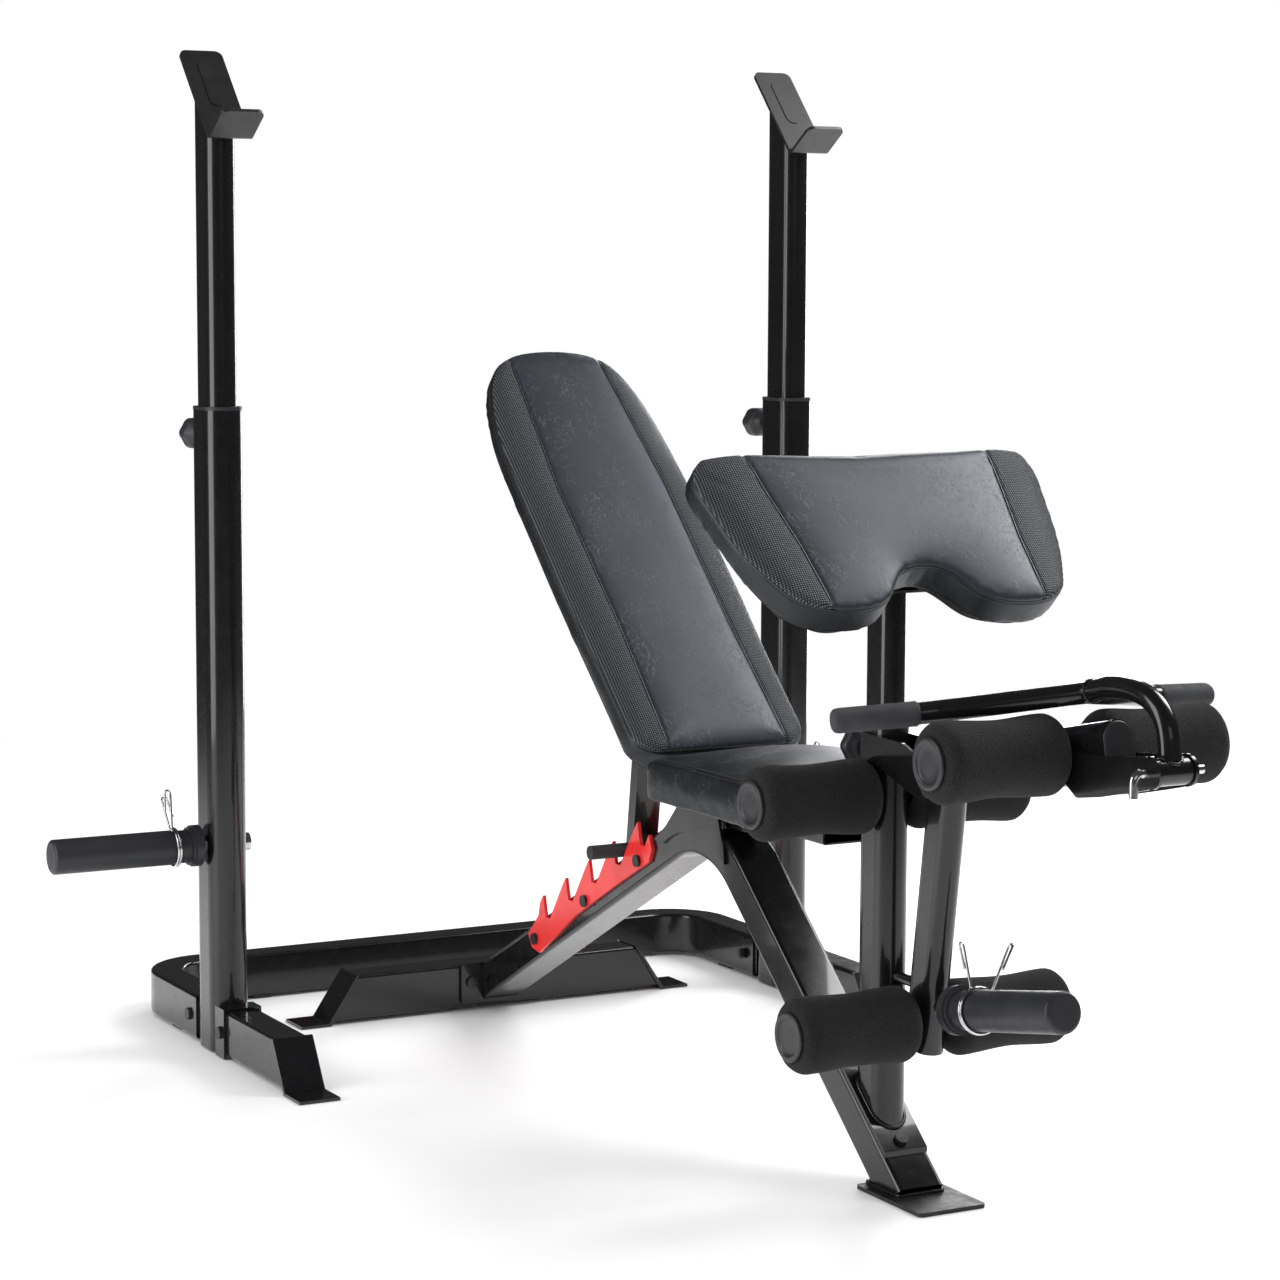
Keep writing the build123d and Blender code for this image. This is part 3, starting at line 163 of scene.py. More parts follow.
# ---------------------------------------------------------------- materials
class Paint:
    """A node material: its Principled shader and short calls that add nodes to it."""

    def __init__(self, name, **settings):
        self.material = bpy.data.materials.new(name)
        self.material.use_nodes = True
        self.tree = self.material.node_tree
        self.shader = self.tree.nodes["Principled BSDF"]
        for key, value in settings.items():
            self.shader.inputs[key.replace("_", " ").title().replace("Ior", "IOR")].default_value = value

    def add(self, kind, **settings):
        node = self.tree.nodes.new("ShaderNode" + kind)
        for key, value in settings.items():
            setattr(node, key, value)
        return node

    def join(self, source, socket):
        self.tree.links.new(source, socket)

    def link(self, source, name):
        self.join(source, self.shader.inputs[name])

    def place(self, stretch):
        """Object coordinates, stretched."""
        coordinates = self.add("TexCoord").outputs["Object"]
        mapping = self.add("Mapping")
        mapping.inputs["Scale"].default_value = stretch
        self.join(coordinates, mapping.inputs["Vector"])
        return mapping.outputs[0]

    def noise(self, scale, detail=3, rough=0.55, distort=0.0, stretch=(1, 1, 1)):
        node = self.add("TexNoise")
        node.inputs["Scale"].default_value = scale
        node.inputs["Detail"].default_value = detail
        node.inputs["Roughness"].default_value = rough
        node.inputs["Distortion"].default_value = distort
        self.join(self.place(stretch), node.inputs["Vector"])
        return node.outputs[0]

    def cells(self, scale):
        node = self.add("TexVoronoi")
        node.inputs["Scale"].default_value = scale
        self.join(self.place((1, 1, 1)), node.inputs["Vector"])
        return node.outputs[0]

    def ramp(self, value, stops):
        node = self.add("ValToRGB")
        elements = node.color_ramp.elements
        while len(elements) < len(stops):
            elements.new(0.5)
        for element, (at, colour) in zip(elements, stops):
            element.position = at
            element.color = (*colour, 1) if hasattr(colour, "__len__") else (colour, colour, colour, 1)
        self.join(value, node.inputs[0])
        return node.outputs[0]

    def math(self, operation, a, b=0.0, c=0.0):
        node = self.add("Math", operation=operation)
        for socket, value in zip(node.inputs, (a, b, c)):
            if isinstance(value, (int, float)):
                socket.default_value = value
            else:
                self.join(value, socket)
        return node.outputs[0]

    def span(self, value, low, high, to_low, to_high, kind="LINEAR"):
        """Value from low..high mapped to to_low..to_high, clamped."""
        node = self.add("MapRange", interpolation_type=kind)
        for socket, number in zip(("From Min", "From Max", "To Min", "To Max"), (low, high, to_low, to_high)):
            node.inputs[socket].default_value = number
        self.join(value, node.inputs["Value"])
        return node.outputs["Result"]

    def mix(self, factor, a, b):
        node = self.add("Mix", data_type="RGBA")
        sockets = [node.inputs[k] for k in (0, MIX_COLOUR_A, MIX_COLOUR_B)]
        for socket, value in zip(sockets, (factor, a, b)):
            if isinstance(value, (int, float)):
                socket.default_value = value
            elif isinstance(value, tuple):
                socket.default_value = (*value, 1)
            else:
                self.join(value, socket)
        return node.outputs[MIX_COLOUR_OUT]

    def bump(self, height, strength, depth, under=None):
        node = self.add("Bump")
        node.inputs["Strength"].default_value = strength
        node.inputs["Distance"].default_value = depth
        self.join(height, node.inputs["Height"])
        if under is not None:
            self.join(under, node.inputs["Normal"])
        self.link(node.outputs[0], "Normal")
        return node.outputs[0]

    def tones(self, scale, low, high, detail=4, stops=(0.3, 0.7)):
        """Base colour that drifts between two tones."""
        self.link(self.ramp(self.noise(scale, detail), list(zip(stops, (low, high)))), "Base Color")

    def gloss(self, scale, low, high, detail=4):
        """Roughness that drifts between two values."""
        self.link(self.span(self.noise(scale, detail), 0.3, 0.7, low, high), "Roughness")

    def grain(self, scale, strength, depth, detail=2):
        """A fine even bump."""
        self.bump(self.noise(scale, detail), strength, depth)


def gloss_paint():
    """Black gloss powder coat with a faint orange peel."""
    paint = Paint("gloss_black_paint", coat_weight=0.6, coat_roughness=0.06, specular_ior_level=0.3)
    paint.tones(scale=5.0, low=(0.0042, 0.0042, 0.0045), high=(0.0065, 0.0065, 0.007))
    paint.gloss(scale=38.0, detail=5, low=0.2, high=0.3)
    paint.grain(scale=260.0, strength=0.05, depth=0.0002)
    return paint.material


def satin_paint():
    """Black paint scuffed to satin, for the plate that stands on the floor."""
    paint = Paint("satin_black_paint", specular_ior_level=0.4)
    paint.tones(scale=26.0, detail=5, low=(0.008, 0.008, 0.0085), high=(0.020, 0.0195, 0.019))
    paint.gloss(scale=70.0, detail=5, low=0.44, high=0.58)
    paint.grain(scale=700.0, detail=3, strength=0.2, depth=0.0003)
    return paint.material


def hook_paint():
    """Satin dark grey paint with a fine grain."""
    paint = Paint("hook_satin_paint", coat_weight=0.15, coat_roughness=0.3)
    paint.tones(scale=9.0, low=(0.009, 0.009, 0.0095), high=(0.015, 0.015, 0.0155))
    paint.gloss(scale=60.0, detail=5, low=0.36, high=0.48)
    paint.grain(scale=900.0, detail=3, strength=0.25, depth=0.0003)
    return paint.material


def red_paint():
    """Semi-gloss red powder coat."""
    paint = Paint("ladder_red_paint", coat_weight=0.35, coat_roughness=0.15)
    paint.tones(scale=14.0, low=(0.62, 0.016, 0.016), high=(0.74, 0.024, 0.022))
    paint.gloss(scale=45.0, low=0.3, high=0.42)
    paint.grain(scale=500.0, detail=3, strength=0.15, depth=0.0003)
    return paint.material


def bolt_black():
    """Black oxide steel, a little worn to grey in scattered patches."""
    paint = Paint("black_bolt_steel", metallic=0.35)
    dark, worn = (0.012, 0.012, 0.013), (0.045, 0.044, 0.043)
    paint.tones(scale=120.0, low=dark, high=worn, stops=(0.35, 0.75))
    paint.gloss(scale=300.0, low=0.28, high=0.45)
    paint.grain(scale=700.0, strength=0.2, depth=0.0003)
    return paint.material


def bright_zinc():
    """Bright zinc-plated steel."""
    paint = Paint("bright_zinc_steel", metallic=1.0)
    paint.tones(scale=60.0, low=(0.60, 0.60, 0.61), high=(0.78, 0.78, 0.78))
    paint.gloss(scale=260.0, low=0.12, high=0.26)
    paint.grain(scale=600.0, strength=0.1, depth=0.0002)
    return paint.material


def moulded_plastic():
    """Dark grey satin plastic with a fine spark-eroded grain."""
    paint = Paint("moulded_dark_plastic", specular_ior_level=0.45)
    paint.tones(scale=18.0, low=(0.016, 0.0165, 0.018), high=(0.023, 0.024, 0.026))
    paint.gloss(scale=90.0, low=0.36, high=0.5)
    paint.grain(scale=1300.0, strength=0.3, depth=0.0002)
    return paint.material


def cap_plastic():
    """Mid grey smooth plastic of the end caps and plugs."""
    paint = Paint("cap_grey_plastic", specular_ior_level=0.5)
    paint.tones(scale=20.0, low=(0.016, 0.0165, 0.018), high=(0.022, 0.0225, 0.024))
    paint.gloss(scale=80.0, low=0.3, high=0.42)
    paint.grain(scale=1200.0, strength=0.2, depth=0.0002)
    return paint.material


def grip_rubber():
    """Matte dark grey rubber."""
    paint = Paint("matte_dark_rubber", specular_ior_level=0.3)
    paint.tones(scale=30.0, detail=5, low=(0.028, 0.029, 0.030), high=(0.042, 0.043, 0.045))
    paint.gloss(scale=140.0, low=0.62, high=0.78)
    paint.grain(scale=1100.0, detail=3, strength=0.4, depth=0.0003)
    return paint.material


def roller_foam():
    """Black closed-cell foam with fine open pores on its skin."""
    paint = Paint("roller_foam_skin", specular_ior_level=0.25, sheen_weight=0.05, sheen_roughness=0.6)
    grain = paint.noise(540.0, 5, 0.8)
    pore = paint.cells(480.0)
    blotch = paint.noise(22.0, 4)
    base = paint.ramp(grain, [(0.40, (0.0004, 0.0004, 0.0004)), (0.64, (0.0190, 0.0190, 0.0195))])
    tone = paint.ramp(blotch, [(0.3, 0.75), (0.7, 1.0)])
    shade = paint.add("Mix", data_type="RGBA", blend_type="MULTIPLY")
    shade.inputs[0].default_value = 1.0
    paint.join(base, shade.inputs[MIX_COLOUR_A])
    paint.join(tone, shade.inputs[MIX_COLOUR_B])
    paint.link(shade.outputs[MIX_COLOUR_OUT], "Base Color")
    paint.link(paint.span(grain, 0.3, 0.7, 0.82, 0.95), "Roughness")
    pits = paint.bump(pore, 0.8, 0.0013)
    paint.bump(grain, 0.9, 0.0015, pits)
    return paint.material


def board_black():
    """Black stained plywood seen behind the pads."""
    paint = Paint("black_stained_ply", specular_ior_level=0.3)
    grain = paint.noise(60.0, 6, 0.6, 0.4, (1, 0.08, 1))
    paint.link(paint.ramp(grain, [(0.3, (0.012, 0.011, 0.010)), (0.7, (0.030, 0.027, 0.024))]), "Base Color")
    paint.link(paint.span(grain, 0.3, 0.7, 0.6, 0.75), "Roughness")
    paint.bump(grain, 0.3, 0.0004)
    return paint.material


def leather_skin(paint, dark):
    """Vinyl with creases in scattered patches and a pale painted highlight along each: the face's tone with
    those painted highlights, the walls' tone, the creases' height.
    """
    creases = paint.noise(46.0, 5, 0.6, 2.2, (1.0, 0.6, 1.0))
    fold = paint.math("ABSOLUTE", paint.math("SUBTRACT", creases, 0.5))
    crease_width, crease_highlight_share = 0.013, 0.55
    patch = paint.span(paint.noise(16.0, 4), 0.44, 0.56, 0.0, 1.0)
    crease = paint.math("MULTIPLY", paint.span(fold, 0.0, crease_width, 1.0, 0.0), patch)
    drift = paint.noise(6.0, 5)
    black = [(0.3, (0.0075, 0.008, 0.009)), (0.7, (0.011, 0.0115, 0.0125))]
    slate = [(0.3, (0.0205, 0.0235, 0.0300)), (0.7, (0.0235, 0.0270, 0.0345))]
    tone = paint.ramp(drift, black if dark else slate)
    # painted highlight: a pale colour mixed in along the creases where light would glint on their ridges
    painted_crease_highlight = (0.12, 0.125, 0.135)
    wall = paint.ramp(drift, [(0.3, (0.005, 0.005, 0.0055)), (0.7, (0.008, 0.008, 0.0085))])
    return paint.mix(paint.math("MULTIPLY", crease, crease_highlight_share), tone, painted_crease_highlight), wall, crease


def weave_pattern(paint, x, y):
    """Diagonal plain weave: the knots' height and the weave's colour."""
    thread_pitch = 0.0058
    turns = math.tau / thread_pitch
    weft, warp = (paint.math("MULTIPLY", paint.math(way, x, y), turns) for way in ("ADD", "SUBTRACT"))
    crossing = paint.math("MULTIPLY", paint.math("SINE", weft), paint.math("SINE", warp))
    knot = paint.span(crossing, -1.0, 1.0, 0.0, 1.0)
    shades = [(0.35, (0.0075, 0.0078, 0.0085)), (0.6, (0.030, 0.0315, 0.035)), (0.85, (0.105, 0.110, 0.122))]
    return knot, paint.ramp(knot, shades)


def beyond_piping(paint, x, y, strip, reach):
    """How far a point lies outside the piping line, whose half distance is a curve over y / reach."""
    widest = 0.25
    curve = paint.add("FloatCurve")
    points = curve.mapping.curves[0].points
    while len(points) < len(strip):
        points.new(0.5, 0.5)
    for point, (along, half) in zip(points, strip):
        point.location = (along / abs(reach), half / widest)
        point.handle_type = "AUTO"
    curve.mapping.use_clip = False
    curve.mapping.update()
    paint.join(paint.math("DIVIDE", y, reach), curve.inputs["Value"])
    edge = paint.math("MULTIPLY", curve.outputs[0], widest)
    return paint.math("SUBTRACT", paint.math("ABSOLUTE", x), edge)


def vinyl(name, seam_z, strip, reach, dark=False, roll=None, end_seam=0.0, fall=(0.0, 1.0)):
    """Pad cover: slate centre with creases and pale painted highlights along them, woven side strips outside
    the piping line, smooth black walls.

    All of it is worked out in the pad's own coordinates: x across, y along and z out of the face. The face
    ends at seam_z, and it sinks by fall[0] at fall[1] outside the piping. Beyond roll the face goes on round
    the edge, out to end_seam on either side.
    """
    paint = Paint(name, specular_ior_level=0.42, coat_weight=0.05, coat_roughness=0.35)
    paint.shader.inputs["Specular Tint"].default_value = (0.80, 0.89, 1.0, 1)
    split = paint.add("SeparateXYZ")
    paint.join(paint.add("TexCoord").outputs["Object"], split.inputs[0])
    x, y, z = split.outputs
    # the face colour includes pale painted highlights along the creases
    face_and_crease_highlight, wall, crease = leather_skin(paint, dark)
    knot, weave = weave_pattern(paint, x, y)
    beyond = beyond_piping(paint, x, y, strip, reach)
    outside = paint.math("GREATER_THAN", beyond, 0.0)
    sunk, fall_width = fall
    share = paint.span(beyond, 0.0, fall_width, 0.0, 1.0)
    raised = paint.math("ADD", z, paint.math("MULTIPLY", paint.math("MULTIPLY", share, share), sunk))
    face = paint.math("GREATER_THAN", raised, seam_z)
    if roll is not None:
        above = paint.math("GREATER_THAN", y, roll)
        inner = paint.math("LESS_THAN", paint.math("ABSOLUTE", x), end_seam)
        face = paint.math("MAXIMUM", face, paint.math("MULTIPLY", above, inner))
    strip_mask = paint.math("MULTIPLY", outside, face)
    paint.link(paint.mix(face, wall, paint.mix(outside, face_and_crease_highlight, weave)), "Base Color")
    rough = paint.add("Mix", data_type="FLOAT")
    paint.join(strip_mask, rough.inputs[0])
    paint.join(paint.span(paint.noise(150.0, 4), 0.3, 0.7, 0.39, 0.45), rough.inputs[MIX_FLOAT_A])
    paint.join(paint.span(knot, 0.0, 1.0, 0.7, 0.34), rough.inputs[MIX_FLOAT_B])
    paint.link(rough.outputs[0], "Roughness")
    pore_height = 0.35
    pores = paint.math("MULTIPLY", paint.cells(520.0), pore_height)
    plain = paint.math("SUBTRACT", 1.0, strip_mask)
    skin = paint.bump(paint.math("MULTIPLY", paint.math("ADD", pores, crease), plain), 0.30, 0.0005)
    paint.bump(paint.math("MULTIPLY", knot, strip_mask), 0.9, 0.0010, skin)
    return paint.material


def piping_vinyl():
    """Piping and seam cords: black vinyl, slightly shinier than the pads."""
    paint = Paint("piping_vinyl", coat_weight=0.2, coat_roughness=0.25)
    paint.tones(scale=70.0, detail=3, low=(0.010, 0.010, 0.011), high=(0.022, 0.022, 0.024))
    paint.gloss(scale=70.0, detail=3, low=0.32, high=0.45)
    paint.grain(scale=400.0, detail=3, strength=0.2, depth=0.0004)
    return paint.material


def thread():
    """Dark grey sewing thread."""
    paint = Paint("seam_thread", sheen_weight=0.2)
    paint.tones(scale=500.0, detail=3, low=(0.020, 0.020, 0.022), high=(0.05, 0.05, 0.054))
    paint.gloss(scale=500.0, detail=3, low=0.6, high=0.8)
    return paint.material


MATERIALS = {
    "gloss_black": gloss_paint(),
    "hook_black": hook_paint(),
    "ladder_red": red_paint(),
    "black_bolt": bolt_black(),
    "bright_steel": bright_zinc(),
    "sleeve_plastic": moulded_plastic(),
    "foot_rubber": grip_rubber(),
    "roller_foam": roller_foam(),
    "pad_board": board_black(),
    "piping": piping_vinyl(),
    "thread": thread(),
    "cap_plastic": cap_plastic(),
    "satin": satin_paint(),
}


# ---------------------------------------------------------------- mesh helpers
def new_piece(name, source):
    """An object in the scene from a bmesh, smooth shaded."""
    mesh = bpy.data.meshes.new(name)
    source.to_mesh(mesh)
    source.free()
    for polygon in mesh.polygons:
        polygon.use_smooth = True
    piece = bpy.data.objects.new(name, mesh)
    bpy.context.scene.collection.objects.link(piece)
    return piece


def closed_piece(name, source):
    """A new piece whose faces all point outwards."""
    bmesh.ops.recalc_face_normals(source, faces=source.faces)
    return new_piece(name, source)


def dress(piece, body, slot, material=None, replaces=()):
    """Gives a piece its material (the slot's own unless one is given), and lets it ride on its body."""
    piece.data.materials.clear()
    piece.data.materials.append(material or MATERIALS[slot])
    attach(piece, body)
    if replaces:
        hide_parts(*replaces)
    return piece


def lathe(name, profile, centre, spokes, wobble):
    """A ring-shaped solid turned about the X axis through centre from a closed line of (x, radius) points."""
    mesh = bmesh.new()
    rows = []
    for x, radius in profile:
        row = []
        for a in circle(spokes):
            r = radius + wobble(x, a)
            spot = Vector(centre) + Vector((x, r * math.cos(a), r * math.sin(a)))
            row.append(mesh.verts.new(spot))
        rows.append(row)
    for first, second in zip(rows, rows[1:] + rows[:1]):
        for k in range(spokes):
            after = (k + 1) % spokes
            mesh.faces.new((first[k], first[after], second[after], second[k]))
    return closed_piece(name, mesh)


# ---------------------------------------------------------------- foam rollers
def make_roller(node):
    """Hourglass foam roller with soft shoulders, slightly uneven as cut foam is."""
    low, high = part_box(node)
    centre = (low + high) / 2
    half = (high.x - low.x) / 2
    outer = (high.z - low.z) / 2
    bore, shoulder, waist = 0.01256, 0.0185, 0.0036
    shoulder_length, shoulder_steps, waist_steps, waist_power = 0.85 * shoulder, 9, 24, 1.6
    bore_lip = ((0.0022, 0.0), (0.0008, 0.003), (0.0, 0.008))
    end = [(-half + inward, bore + rise) for inward, rise in bore_lip]
    for k in range(shoulder_steps + 1):
        a = math.pi / 2 * k / shoulder_steps
        x = -half + shoulder_length * (1 - math.cos(a))
        end.append((x, outer - shoulder * (1 - math.sin(a))))
    start = -half + shoulder_length
    profile = list(end)
    for k in range(1, waist_steps):
        t = k / waist_steps
        dip = waist * math.sin(math.pi * t) ** waist_power
        profile.append((start * (1 - 2 * t), outer - dip))
    profile += [(-x, r) for x, r in reversed(end)]
    seed = Vector((hash_of(node), 0, 0))
    flat_end, sunk, swing, along_scale, round_scale = 0.004, 0.0006, 0.0009, 22, 1.1

    def wobble(x, a):
        if abs(x) > half - flat_end:
            return 0.0
        spot = Vector((x * along_scale, math.cos(a) * round_scale, math.sin(a) * round_scale)) + seed
        return swing * noise.noise(spot) - sunk

    roller = lathe(node.replace("foam", "roller_foam"), profile, centre, 96, wobble)
    dress(roller, BODY_OF[node], "roller_foam", replaces=(node,))


def hash_of(name):
    """A small fixed number from a name, for seeding noise."""
    return sum(ord(c) * (k + 1) for k, c in enumerate(name)) % 97


# ---------------------------------------------------------------- small plastic and wire parts
def turned(mesh, rows):
    """Joins equal rings of points into a closed skin with flat ends."""
    made = [[mesh.verts.new(point) for point in row] for row in rows]
    count = len(made[0])
    for first, second in zip(made, made[1:]):
        for k in range(count):
            after = (k + 1) % count
            mesh.faces.new((first[k], first[after], second[after], second[k]))
    mesh.faces.new(made[0][::-1])
    mesh.faces.new(made[-1])


def make_axle_caps(node):
    """Two moulded end caps: a raised rim round a slightly sunken disc."""
    low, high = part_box(node)
    centre = (low + high) / 2
    outer, face = (high.z - low.z) / 2, high.x
    rim = ((-0.0052, 0.001), (-0.0016, 0.0), (-0.0004, 0.0009), (0.0, 0.0024), (0.0, 0.0062))
    disc = ((-0.0006, 0.0072), (-0.0022, 0.0084), (-0.0026, 0.0098))
    middle = ((-0.0024, 0.4), (-0.0023, 0.08))
    shape = [(depth, outer - inset) for depth, inset in rim + disc]
    shape += [(depth, outer * share) for depth, share in middle]
    mesh = bmesh.new()
    for side in SIDES:
        rows = []
        for depth, radius in shape:
            x = side * (face + depth)
            row = [(x, centre.y + radius * math.cos(a), centre.z + radius * math.sin(a)) for a in circle(64)]
            rows.append(row)
        turned(mesh, rows)
    caps = closed_piece(node.replace("caps", "end_caps"), mesh)
    dress(caps, BODY_OF[node], "sleeve_plastic", MATERIALS["cap_plastic"], (node,))


def make_knob(node):
    """Softly lobed pull knob with a domed end, on its steel pin."""
    low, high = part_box(node)
    centre = (low + high) / 2
    outer = (high.z - low.z) / 2
    rack_pin, post_pin, pin_radius, pin_step = 0.0214, 0.0154, 0.005, 0.004
    lobes, lobe_depth, lobe_start, lobe_run, lobe_end, end_run = 6, 0.085, 0.2, 0.2, 1.02, 0.12
    seat = low.y + (rack_pin if "rack" in node else post_pin)
    length = high.y - seat
    shape = [(0.0, 0.42), (0.06, 0.56), (0.16, 0.62), (0.26, 0.78), (0.34, 0.93), (0.44, 0.99), (0.62, 1.0)]
    shape += [(0.78, 0.98), (0.88, 0.92), (0.95, 0.80), (0.985, 0.62), (1.0, 0.36), (1.0, 0.1)]
    mesh = bmesh.new()
    rows = []
    for along, share in shape:
        fade_in = min(1, max(0, (along - lobe_start) / lobe_run))
        depth = lobe_depth * fade_in * min(1, (lobe_end - along) / end_run)
        y = seat + length * along
        row = []
        for a in circle(96):
            radius = outer * share * (1 - depth * (0.5 - 0.5 * math.cos(lobes * a)))
            row.append((centre.x + radius * math.cos(a), y, centre.z + radius * math.sin(a)))
        rows.append(row)
    turned(mesh, rows)
    pin = np.array([(centre.x, low.y + k * pin_step, centre.z) for k in range(6)])
    sweep_rings(mesh, pin, pin_radius, False, 24)
    knob = closed_piece(node.replace("knob", "pull_knob"), mesh)
    dress(knob, BODY_OF[node], "sleeve_plastic", replaces=(node,))


def make_spring_clip(node, centre, axis, lean):
    """Wire clip: two turns round the sleeve, then a narrow loop handle at each end."""
    coil, wire, pitch, bend = 0.0274, 0.0017, 0.0037, 0.0042
    short_reach, long_reach = 0.079, 0.085
    spread, flare = math.radians(27), math.radians(6)
    coil_steps, bend_steps, track_step = 96, 10, 0.0018
    axis = Vector(axis).normalized()
    up = (Vector((0, 0, 1)) - axis * axis.z).normalized()
    side = axis.cross(up)
    start = math.radians(lean) + spread
    turn_total = 2 * math.tau - 2 * spread

    def spot(angle, radius, along):
        return Vector(centre) + (up * math.cos(angle) + side * math.sin(angle)) * radius + axis * along

    line = []
    for k in range(coil_steps + 1):
        angle = start + turn_total * k / coil_steps
        line.append(spot(angle, coil, pitch * (angle - start) / math.tau - pitch))

    def handle(root, angle, along, way, reach):
        """Out to the tip, round the narrow bend, and a little way back."""
        out = (up * math.cos(angle) + side * math.sin(angle)).normalized()
        tip = spot(angle, reach, along)
        points = [root + (tip - root) * t for t in (0.15, 0.35, 0.6, 0.8, 0.92)]
        for k in range(1, bend_steps):
            a = math.pi * k / bend_steps
            points.append(tip + out * bend * math.sin(a) + axis * way * bend * (1 - math.cos(a)))
        back = tip + axis * way * 2 * bend
        points += [back - out * reach * share for share in (0.1, 0.22, 0.36)]
        return points

    first = handle(line[0], start - flare, -pitch, -1, short_reach)
    last = handle(line[-1], start + turn_total + flare, pitch, 1, long_reach)
    path = even(np.array([tuple(point) for point in first[::-1] + line + last]), track_step, False, 2)
    clip = tube(node.replace("spring", "wire"), path, wire, False, 14)
    dress(clip, BODY_OF[node], "bright_steel", replaces=(node,))


def make_rack_clips():
    """The clips on the rack's two plate posts."""
    lean = -24
    for node in ("left_spring_clip", "right_spring_clip"):
        low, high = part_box(node)
        sleeve_low, sleeve_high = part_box(node.replace("spring_clip", "plate_sleeve"))
        middle = (sleeve_low + sleeve_high) / 2
        make_spring_clip(node, ((low.x + high.x) / 2, middle.y, middle.z), (1, 0, 0), lean)


def make_front_clip():
    """The clip on the leg developer's plate post, which rises towards its free end."""
    post_foot, post_rise, clip_way, lean = Vector((0, -0.557, 0.249)), math.radians(10.6), 0.049, -12
    way = Vector((0, -math.cos(post_rise), math.sin(post_rise)))
    make_spring_clip("front_spring_clip", post_foot + way * clip_way, way, lean)


def make_grips():
    """Rubber grips on the curl bar, rounded at the outer end and lipped at the inner one."""
    low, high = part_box("curl_grips")
    radius, inner_x, end_dip = 0.0145, 0.1637, 0.001
    body_rows, end_rows, body_end = 25, 14, 0.9
    shape = [(0.0, 0.86), (0.008, 0.97), (0.02, 1.0), (0.04, 1.0), (0.055, 0.985), (0.075, 0.98)]
    shape += [(0.5, 0.985), (0.90, 0.99), (0.94, 0.97), (0.97, 0.89), (0.988, 0.72), (0.997, 0.45)]
    shape.append((1.0, 0.2))
    along, share = zip(*shape)
    body = np.linspace(0, body_end, body_rows)
    at = np.concatenate([body, np.linspace(body_end + 0.01, 1.0, end_rows)])
    mesh = bmesh.new()
    for side in SIDES:
        inner = np.array((side * inner_x, low.y + radius, high.z - radius))
        outer = np.array((side * high.x, high.y - radius + end_dip, low.z + radius))
        line = inner + (outer - inner) * at[:, None]
        sweep_rings(mesh, line, radius * np.interp(at, along, share), False, 40)
    grips = closed_piece("curl_bar_grips", mesh)
    dress(grips, BODY_OF["curl_grips"], "foot_rubber", replaces=("curl_grips",))


def make_arm_plug():
    """Oval plastic end plug in the open end of the forward arm."""
    low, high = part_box("leg_developer_arm")
    rise, arm_depth, half_width, straight = math.radians(12.0), 0.068, 0.0207, 0.0120
    dome = ((-0.003, 0.0), (0.0006, 0.0), (0.0016, 0.0004), (0.0022, 0.0014), (0.0024, 0.0040))
    out = Vector((0, -math.cos(rise), math.sin(rise)))
    up = Vector((0, math.sin(rise), math.cos(rise)))
    centre = Vector((0, low.y + arm_depth * math.sin(rise), high.z)) - up * arm_depth / 2
    rows = []
    for depth, inset in dome:
        row = []
        radius = half_width - inset
        for a in circle(64):
            shift = straight if math.sin(a) >= 0 else -straight
            across = Vector((radius * math.cos(a), 0, 0))
            row.append(centre + out * depth + across + up * (radius * math.sin(a) + shift))
        rows.append(row)
    mesh = bmesh.new()
    turned(mesh, rows)
    plug = closed_piece("arm_end_plug", mesh)
    dress(plug, BODY_OF["leg_developer_arm"], "sleeve_plastic", MATERIALS["cap_plastic"])


# ---------------------------------------------------------------- weld beads
def weld(name, line, size, body):
    """A rippled weld bead along a closed line of points."""
    step, wave_steps, wave, uneven, uneven_scale = 0.0012, 3.0, 0.16, 0.15, 0.9
    track = even(np.asarray(line, float), step, True, 3)
    count = len(track)
    ripple = np.array([noise.noise(Vector((k * uneven_scale, len(name), 0))) for k in range(count)])
    width = size * (1 + wave * np.sin(np.arange(count) * math.tau / wave_steps) + uneven * ripple)
    bead = tube(name, track, width, True, 10)
    dress(bead, body, "gloss_black")


def oval_ring(centre, width, depth, height_at):
    """Outline of a flat-sided oval tube lying along Z, at the height given for each y."""
    radius, straight = width / 2, (depth - width) / 2
    ring = []
    for a in circle(72):
        shift = straight if math.sin(a) >= 0 else -straight
        x, y = centre[0] + radius * math.cos(a), centre[1] + radius * math.sin(a) + shift
        ring.append((x, y, height_at(y)))
    return ring


def weld_hooks():
    """Beads where the sloping bar hooks sit on the oval risers."""
    width, depth, size = 0.0455, 0.0735, 0.0021
    seat_y, seat_z, rise, sunk = 0.586, 1.311, 1.0948, 0.0040
    for word in ("left", "right"):
        low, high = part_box(f"{word}_riser")
        middle = (low + high) / 2
        ring = oval_ring(middle, width, depth, lambda y: seat_z + (y - seat_y) * rise - sunk)
        weld(f"{word}_hook_weld", ring, size, BODY_OF[f"{word}_riser"])


def weld_curl_bar():
    """Beads round the curl bar's stem, on its pivot tube, and round its branch."""
    bar, pivot, sunk, stem_size = 0.0125, 0.0155, 0.005, 0.0021
    low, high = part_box("curl_pin")
    y, z = (low.y + high.y) / 2, high.z - sunk
    stem = []
    for a in circle(64):
        across, along = bar * math.cos(a), bar * math.sin(a)
        stem.append((across, y + along, z + math.sqrt(pivot**2 - along**2)))
    weld("curl_stem_weld", stem, stem_size, BODY_OF["curl_bar"])
    branch, collar_radius, collar_size = Vector((0, -0.8165, 0.6635)), 0.0127, 0.0018
    lift = Vector((0, 0.25, 1)).normalized()
    collar = []
    for a in circle(64):
        across, over = collar_radius * math.cos(a), collar_radius * math.sin(a)
        collar.append(branch + Vector((across, 0, 0)) + lift * over)
    weld("curl_branch_weld", collar, collar_size, BODY_OF["curl_bar"])


